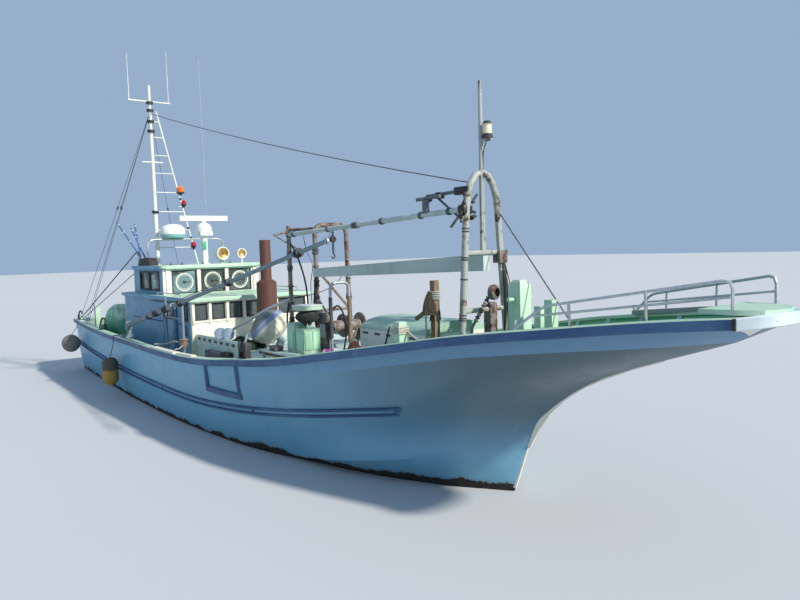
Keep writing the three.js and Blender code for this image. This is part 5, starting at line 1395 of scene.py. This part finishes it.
def bow_details():
    """The platform's plate, the nose block and the stem's white edge."""
    plate = Piece("bow_plate", "mint", "white")
    plan = both_sides([(10.85, .47), (11.2, .44), (11.4, .3), (11.5, 0)])
    plate.skin([[(x, y, z) for x, y in plan] for z in (2.5903, 2.6403)])
    plate.done("bow_platform")

    nose = Piece("nose_block", "nose_paint", "white")
    plan = both_sides([(11.262, .555), (11.36, .49), (11.44, .42), (11.5, .34), (11.545, .24), (11.57, .12),
                       (11.575, 0)])
    nose.skin([[(x + grow, y * (1 + grow), 2.578 + (x - 11.26) * .15 - drop) for x, y in plan]
               for drop, grow in ((.125, -.02), (.115, 0), (.014, 0), (0, -.012))])
    nose.use("black")
    for y in ((-.575, -.5), (.5, .575)):
        nose.box((11.225, 11.262), y, (2.462, 2.572), .006)
    nose.done()

    edge = Piece("stem_edge", "cream", "white")
    path = [Vector((x, 0, z)) for x, z in STEM_LINE]
    rows = []
    for before, p, after in zip([path[0], *path], path, [*path[1:], path[-1]]):
        way = (after - before).normalized()
        out = Vector((way.z, 0, -way.x))
        rows.append([p + out * reach + Vector((0, across, 0))
                     for reach, across in ((.012, .011), (.012, -.011), (-.06, -.04), (-.06, .04))])
    edge.skin(rows)
    edge.done()


def boom_gear():
    """Black lashings, a tip eye and the topping wire of the outrigger boom."""
    heel, tip = Vector((-2.07, -1.9, 1.74)), Vector((5.91, -1.5, 3.44))
    way = (tip - heel).normalized()
    gear = Piece("boom_lashings", "black", "rubber", "outrigger_boom")
    for start, count in ((.155, 3), (.2, 9), (.262, 10), (.36, 4), (.62, 3), (.9, 4)):
        for k in range(count):
            gear.band((.03, .072, .014, .01), heel.lerp(tip, start) + way * .026 * k, way, 14)
    gear.use("wire").tube([heel.lerp(tip, share) + Vector((0, 0, above))
                           for share, above in ((.16, .07), (.62, .065))], .007, 6)
    gear.use("galvanised").band((.02, .05, .012, .012), tip - way * .02, PORT, 16)
    gear.done()


def tarp():
    """A coated cloth over the gear on the aft deck, tall forward and low aft, with folds and a wavy hem."""
    aft, fore, y0, y1, crown = -6.3, -4.3, -1.63, -.62, 2.07
    low_top, hump_x, steepness, drop = 1.42, -5.25, 7, .1
    rng = random.Random(5)
    phase = [rng.uniform(0, math.tau) for _ in range(7)]
    rings, around = 30, 110
    points = []
    for t in (r / rings for r in range(rings + 1)):
        fall = max(0, (t - .45) / .55)
        for a in (math.tau * k / around for k in range(around)):
            square = (abs(math.cos(a)) ** 3 + abs(math.sin(a)) ** 3) ** (-1 / 3)
            folds = (.05 * math.sin(6 * a + phase[0] + t) + .035 * math.sin(11 * a + phase[1] - 2 * t)
                     + .018 * math.sin(23 * a + phase[2])) * fall ** .6
            spread = math.sin(min(t * 1.45, 1) * math.pi / 2) ** .85
            reach = min(spread * square * (.9 + .06 * fall) + folds, 1)
            x = (aft + fore) / 2 + (fore - aft) / 2 * reach * math.cos(a)
            y = (y0 + y1) / 2 + (y1 - y0) / 2 * reach * math.sin(a)
            top = low_top + (crown - low_top) / (1 + math.exp(-(x - hump_x) * steepness))
            sag = .05 * math.sin(5 * a + phase[3]) * t + .04 * math.sin(9 * x + phase[4]) * (1 - fall)
            hem = 1 + .08 * math.sin(5 * a + phase[5]) + .03 * math.sin(12 * a + phase[6])
            z = top - drop * t * t + sag * (1 - fall) - (top - drop - hem) * fall ** 1.05
            points.append((x, y, min(z, crown)))
    cloth = Piece("hauler_tarp", "tarpaulin", "tarpaulin")
    cloth.skin([points[k:k + around] for k in range(0, len(points), around)], False)
    ratio = 1.25
    width = math.sqrt(sum(face.calc_area() for face in cloth.bm.faces) / ratio)
    obj = cloth.done("hauler_cover", merge=1e-5)

    gear = Piece("covered_gear", "black", "tarpaulin")
    gear.box((aft + .2, -5.3), (y0 + .16, y1 - .16), (deck_z(-6), 1.3), .05)
    gear.box((-5.28, fore - .2), (y0 + .2, y1 - .2), (deck_z(-5), 1.8), .08)
    gear.done()
    bag = Piece("rail_bag", "olive_bag", "tarpaulin")
    lumps(bag, [(-4.62, -1.72, deck_z(-4.6), .22, .1, .72)], 3, .2)
    bag.done()


for build in (hull_shell, rail_cap, side_bands, bulwark_fittings, windows, house_trim, roof_gear, mast_gear,
              ladder, spars, stern_gear, hauler_drum, casing_gear, cabinet_gear, net_hoop, upper_beam,
              fore_frame_gear, lantern_gear, foredeck_gear, bow_details, boom_gear, tarp):
    build()


# Finish of the solids that stay
NODE_FINISH = {
    "bottom": "keel_skeg rudder",
    "bronze": "propeller",
    "mint": "stern_bitts cabin_roof wheelhouse_back wheelhouse_roof electric_cabinets mooring_posts"
            " hatch_coaming hatch_lid",
    "cream": "cabin_front wheelhouse_front",
    # the house's sides take the blue side paint, painted shade
    "white": "cabin_back main_mast searchlight",
    "side": "cabin_side_starboard cabin_side_port cabin_door_starboard cabin_door_port"
            " wheelhouse_side_starboard wheelhouse_side_port",
    "casing": "engine_casing",
    "stack": "exhaust_stack",
    "grey_steel": "hauler_stand winch_stand boom_pedestal outrigger_boom boom_rest",
    "brown_steel": "winch_drum aft_gantry",
    "beam": "net_beam",
    "frame_steel": "fore_frame",
    "lantern": "fore_lantern",
    "trunk": "foredeck_trunk",
    "timber": "net_post",
    "galvanised": "bow_rail_starboard bow_rail_port roof_arch",
    "radome": "radome",
    "plastic": "radar_pedestal radar_scanner",
    "rubber": "round_fender",
    "long_fender": "long_fender",
    "wire": "main_stay",
}


def smoothing_nodes():
    """Welds a solid's faces and shades its shallow edges smooth."""
    tree = bpy.data.node_groups.new("smooth_shallow_edges", "GeometryNodeTree")
    tree.interface.new_socket("Geometry", in_out="INPUT", socket_type="NodeSocketGeometry")
    tree.interface.new_socket("Geometry", in_out="OUTPUT", socket_type="NodeSocketGeometry")
    add = tree.nodes.new
    start, end = add("NodeGroupInput"), add("NodeGroupOutput")
    weld, faces, edges = (add("GeometryNodeMergeByDistance"), add("GeometryNodeSetShadeSmooth"),
                          add("GeometryNodeSetShadeSmooth"))
    angle, sharp = add("GeometryNodeInputMeshEdgeAngle"), add("FunctionNodeCompare")
    weld.inputs["Distance"].default_value = .00005
    sharp.data_type, sharp.operation = "FLOAT", "GREATER_THAN"
    sharp.inputs[1].default_value = math.radians(46)
    edges.domain = "EDGE"
    faces.inputs["Shade Smooth"].default_value = True
    edges.inputs["Shade Smooth"].default_value = False
    join = tree.links.new
    join(start.outputs[0], weld.inputs["Geometry"])
    join(weld.outputs[0], faces.inputs["Geometry"])
    join(faces.outputs[0], edges.inputs["Geometry"])
    join(angle.outputs["Unsigned Angle"], sharp.inputs[0])
    join(sharp.outputs[0], edges.inputs["Selection"])
    join(edges.outputs[0], end.inputs[0])
    return tree


def finish_solids():
    tree = smoothing_nodes()
    for look, names in NODE_FINISH.items():
        for obj in (nodes[name] for name in names.split()):
            if not obj.material_slots:
                obj.data.materials.append(None)
            for material_slot in obj.material_slots:
                material_slot.link = "OBJECT"
                material_slot.material = MATERIALS[look]
            obj.modifiers.new("smooth", "NODES").node_group = tree


def camera():
    ahead = Vector((-math.sin(HEADING), math.cos(HEADING), 0))
    right = Vector((math.cos(HEADING), math.sin(HEADING), 0))
    up = Vector(UP)
    level = ahead * math.cos(PITCH) - up * math.sin(PITCH)
    above = up * math.cos(PITCH) + ahead * math.sin(PITCH)
    x_axis = right * math.cos(ROLL) - above * math.sin(ROLL)
    y_axis = above * math.cos(ROLL) + right * math.sin(ROLL)
    data = bpy.data.cameras.new("camera")
    data.sensor_width = SENSOR
    data.lens = SENSOR * FOCAL_PX / PICTURE_WIDTH
    data.clip_end = 400
    obj = bpy.data.objects.new("camera", data)
    obj.matrix_world = Matrix.Translation(EYE) @ Matrix((x_axis, y_axis, -level)).transposed().to_4x4()
    bpy.context.scene.collection.objects.link(obj)
    bpy.context.scene.camera = obj


def surroundings():
    """A pale floor at the waterline, a sun ahead and to port, and soft light from the sky."""
    scene = bpy.context.scene
    mesh = bpy.data.meshes.new("floor")
    half = 160
    corners = [(-half, -half, 0), (half, -half, 0), (half, half, 0), (-half, half, 0)]
    mesh.from_pydata(corners, [], [(0, 1, 2, 3)])
    n = Nodes("floor_grey")
    n.set(Base_Color=n.mix(n.noise(.05, detail=2), (.5, .52, .54), (.54, .56, .58)), Roughness=.9)
    mesh.materials.append(n.material)
    floor = bpy.data.objects.new("floor", mesh)
    scene.collection.objects.link(floor)
    floor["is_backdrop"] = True
    scene.world = bpy.data.worlds.new("world")
    scene.world.use_nodes = True
    sky = scene.world.node_tree.nodes["Background"].inputs
    sky[0].default_value = (.5, .69, .96, 1)
    sky[1].default_value = .62
    scene.view_settings.view_transform = "Standard"

    light = bpy.data.lights.new("sun", "SUN")
    light.energy, light.color, light.angle = 4.9, (1, .94, .84), math.radians(3)
    sun = bpy.data.objects.new("sun", light)
    sun.location = (30, 9, 20)
    sun.rotation_euler = (-sun.location).to_track_quat("-Z", "Y").to_euler()
    scene.collection.objects.link(sun)


finish_solids()
camera()
surroundings()

boxes = {"cad": cad_box, "visual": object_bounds()}
{key: [[round(v, 5) for v in corner] for corner in box] for key, box in boxes.items()}
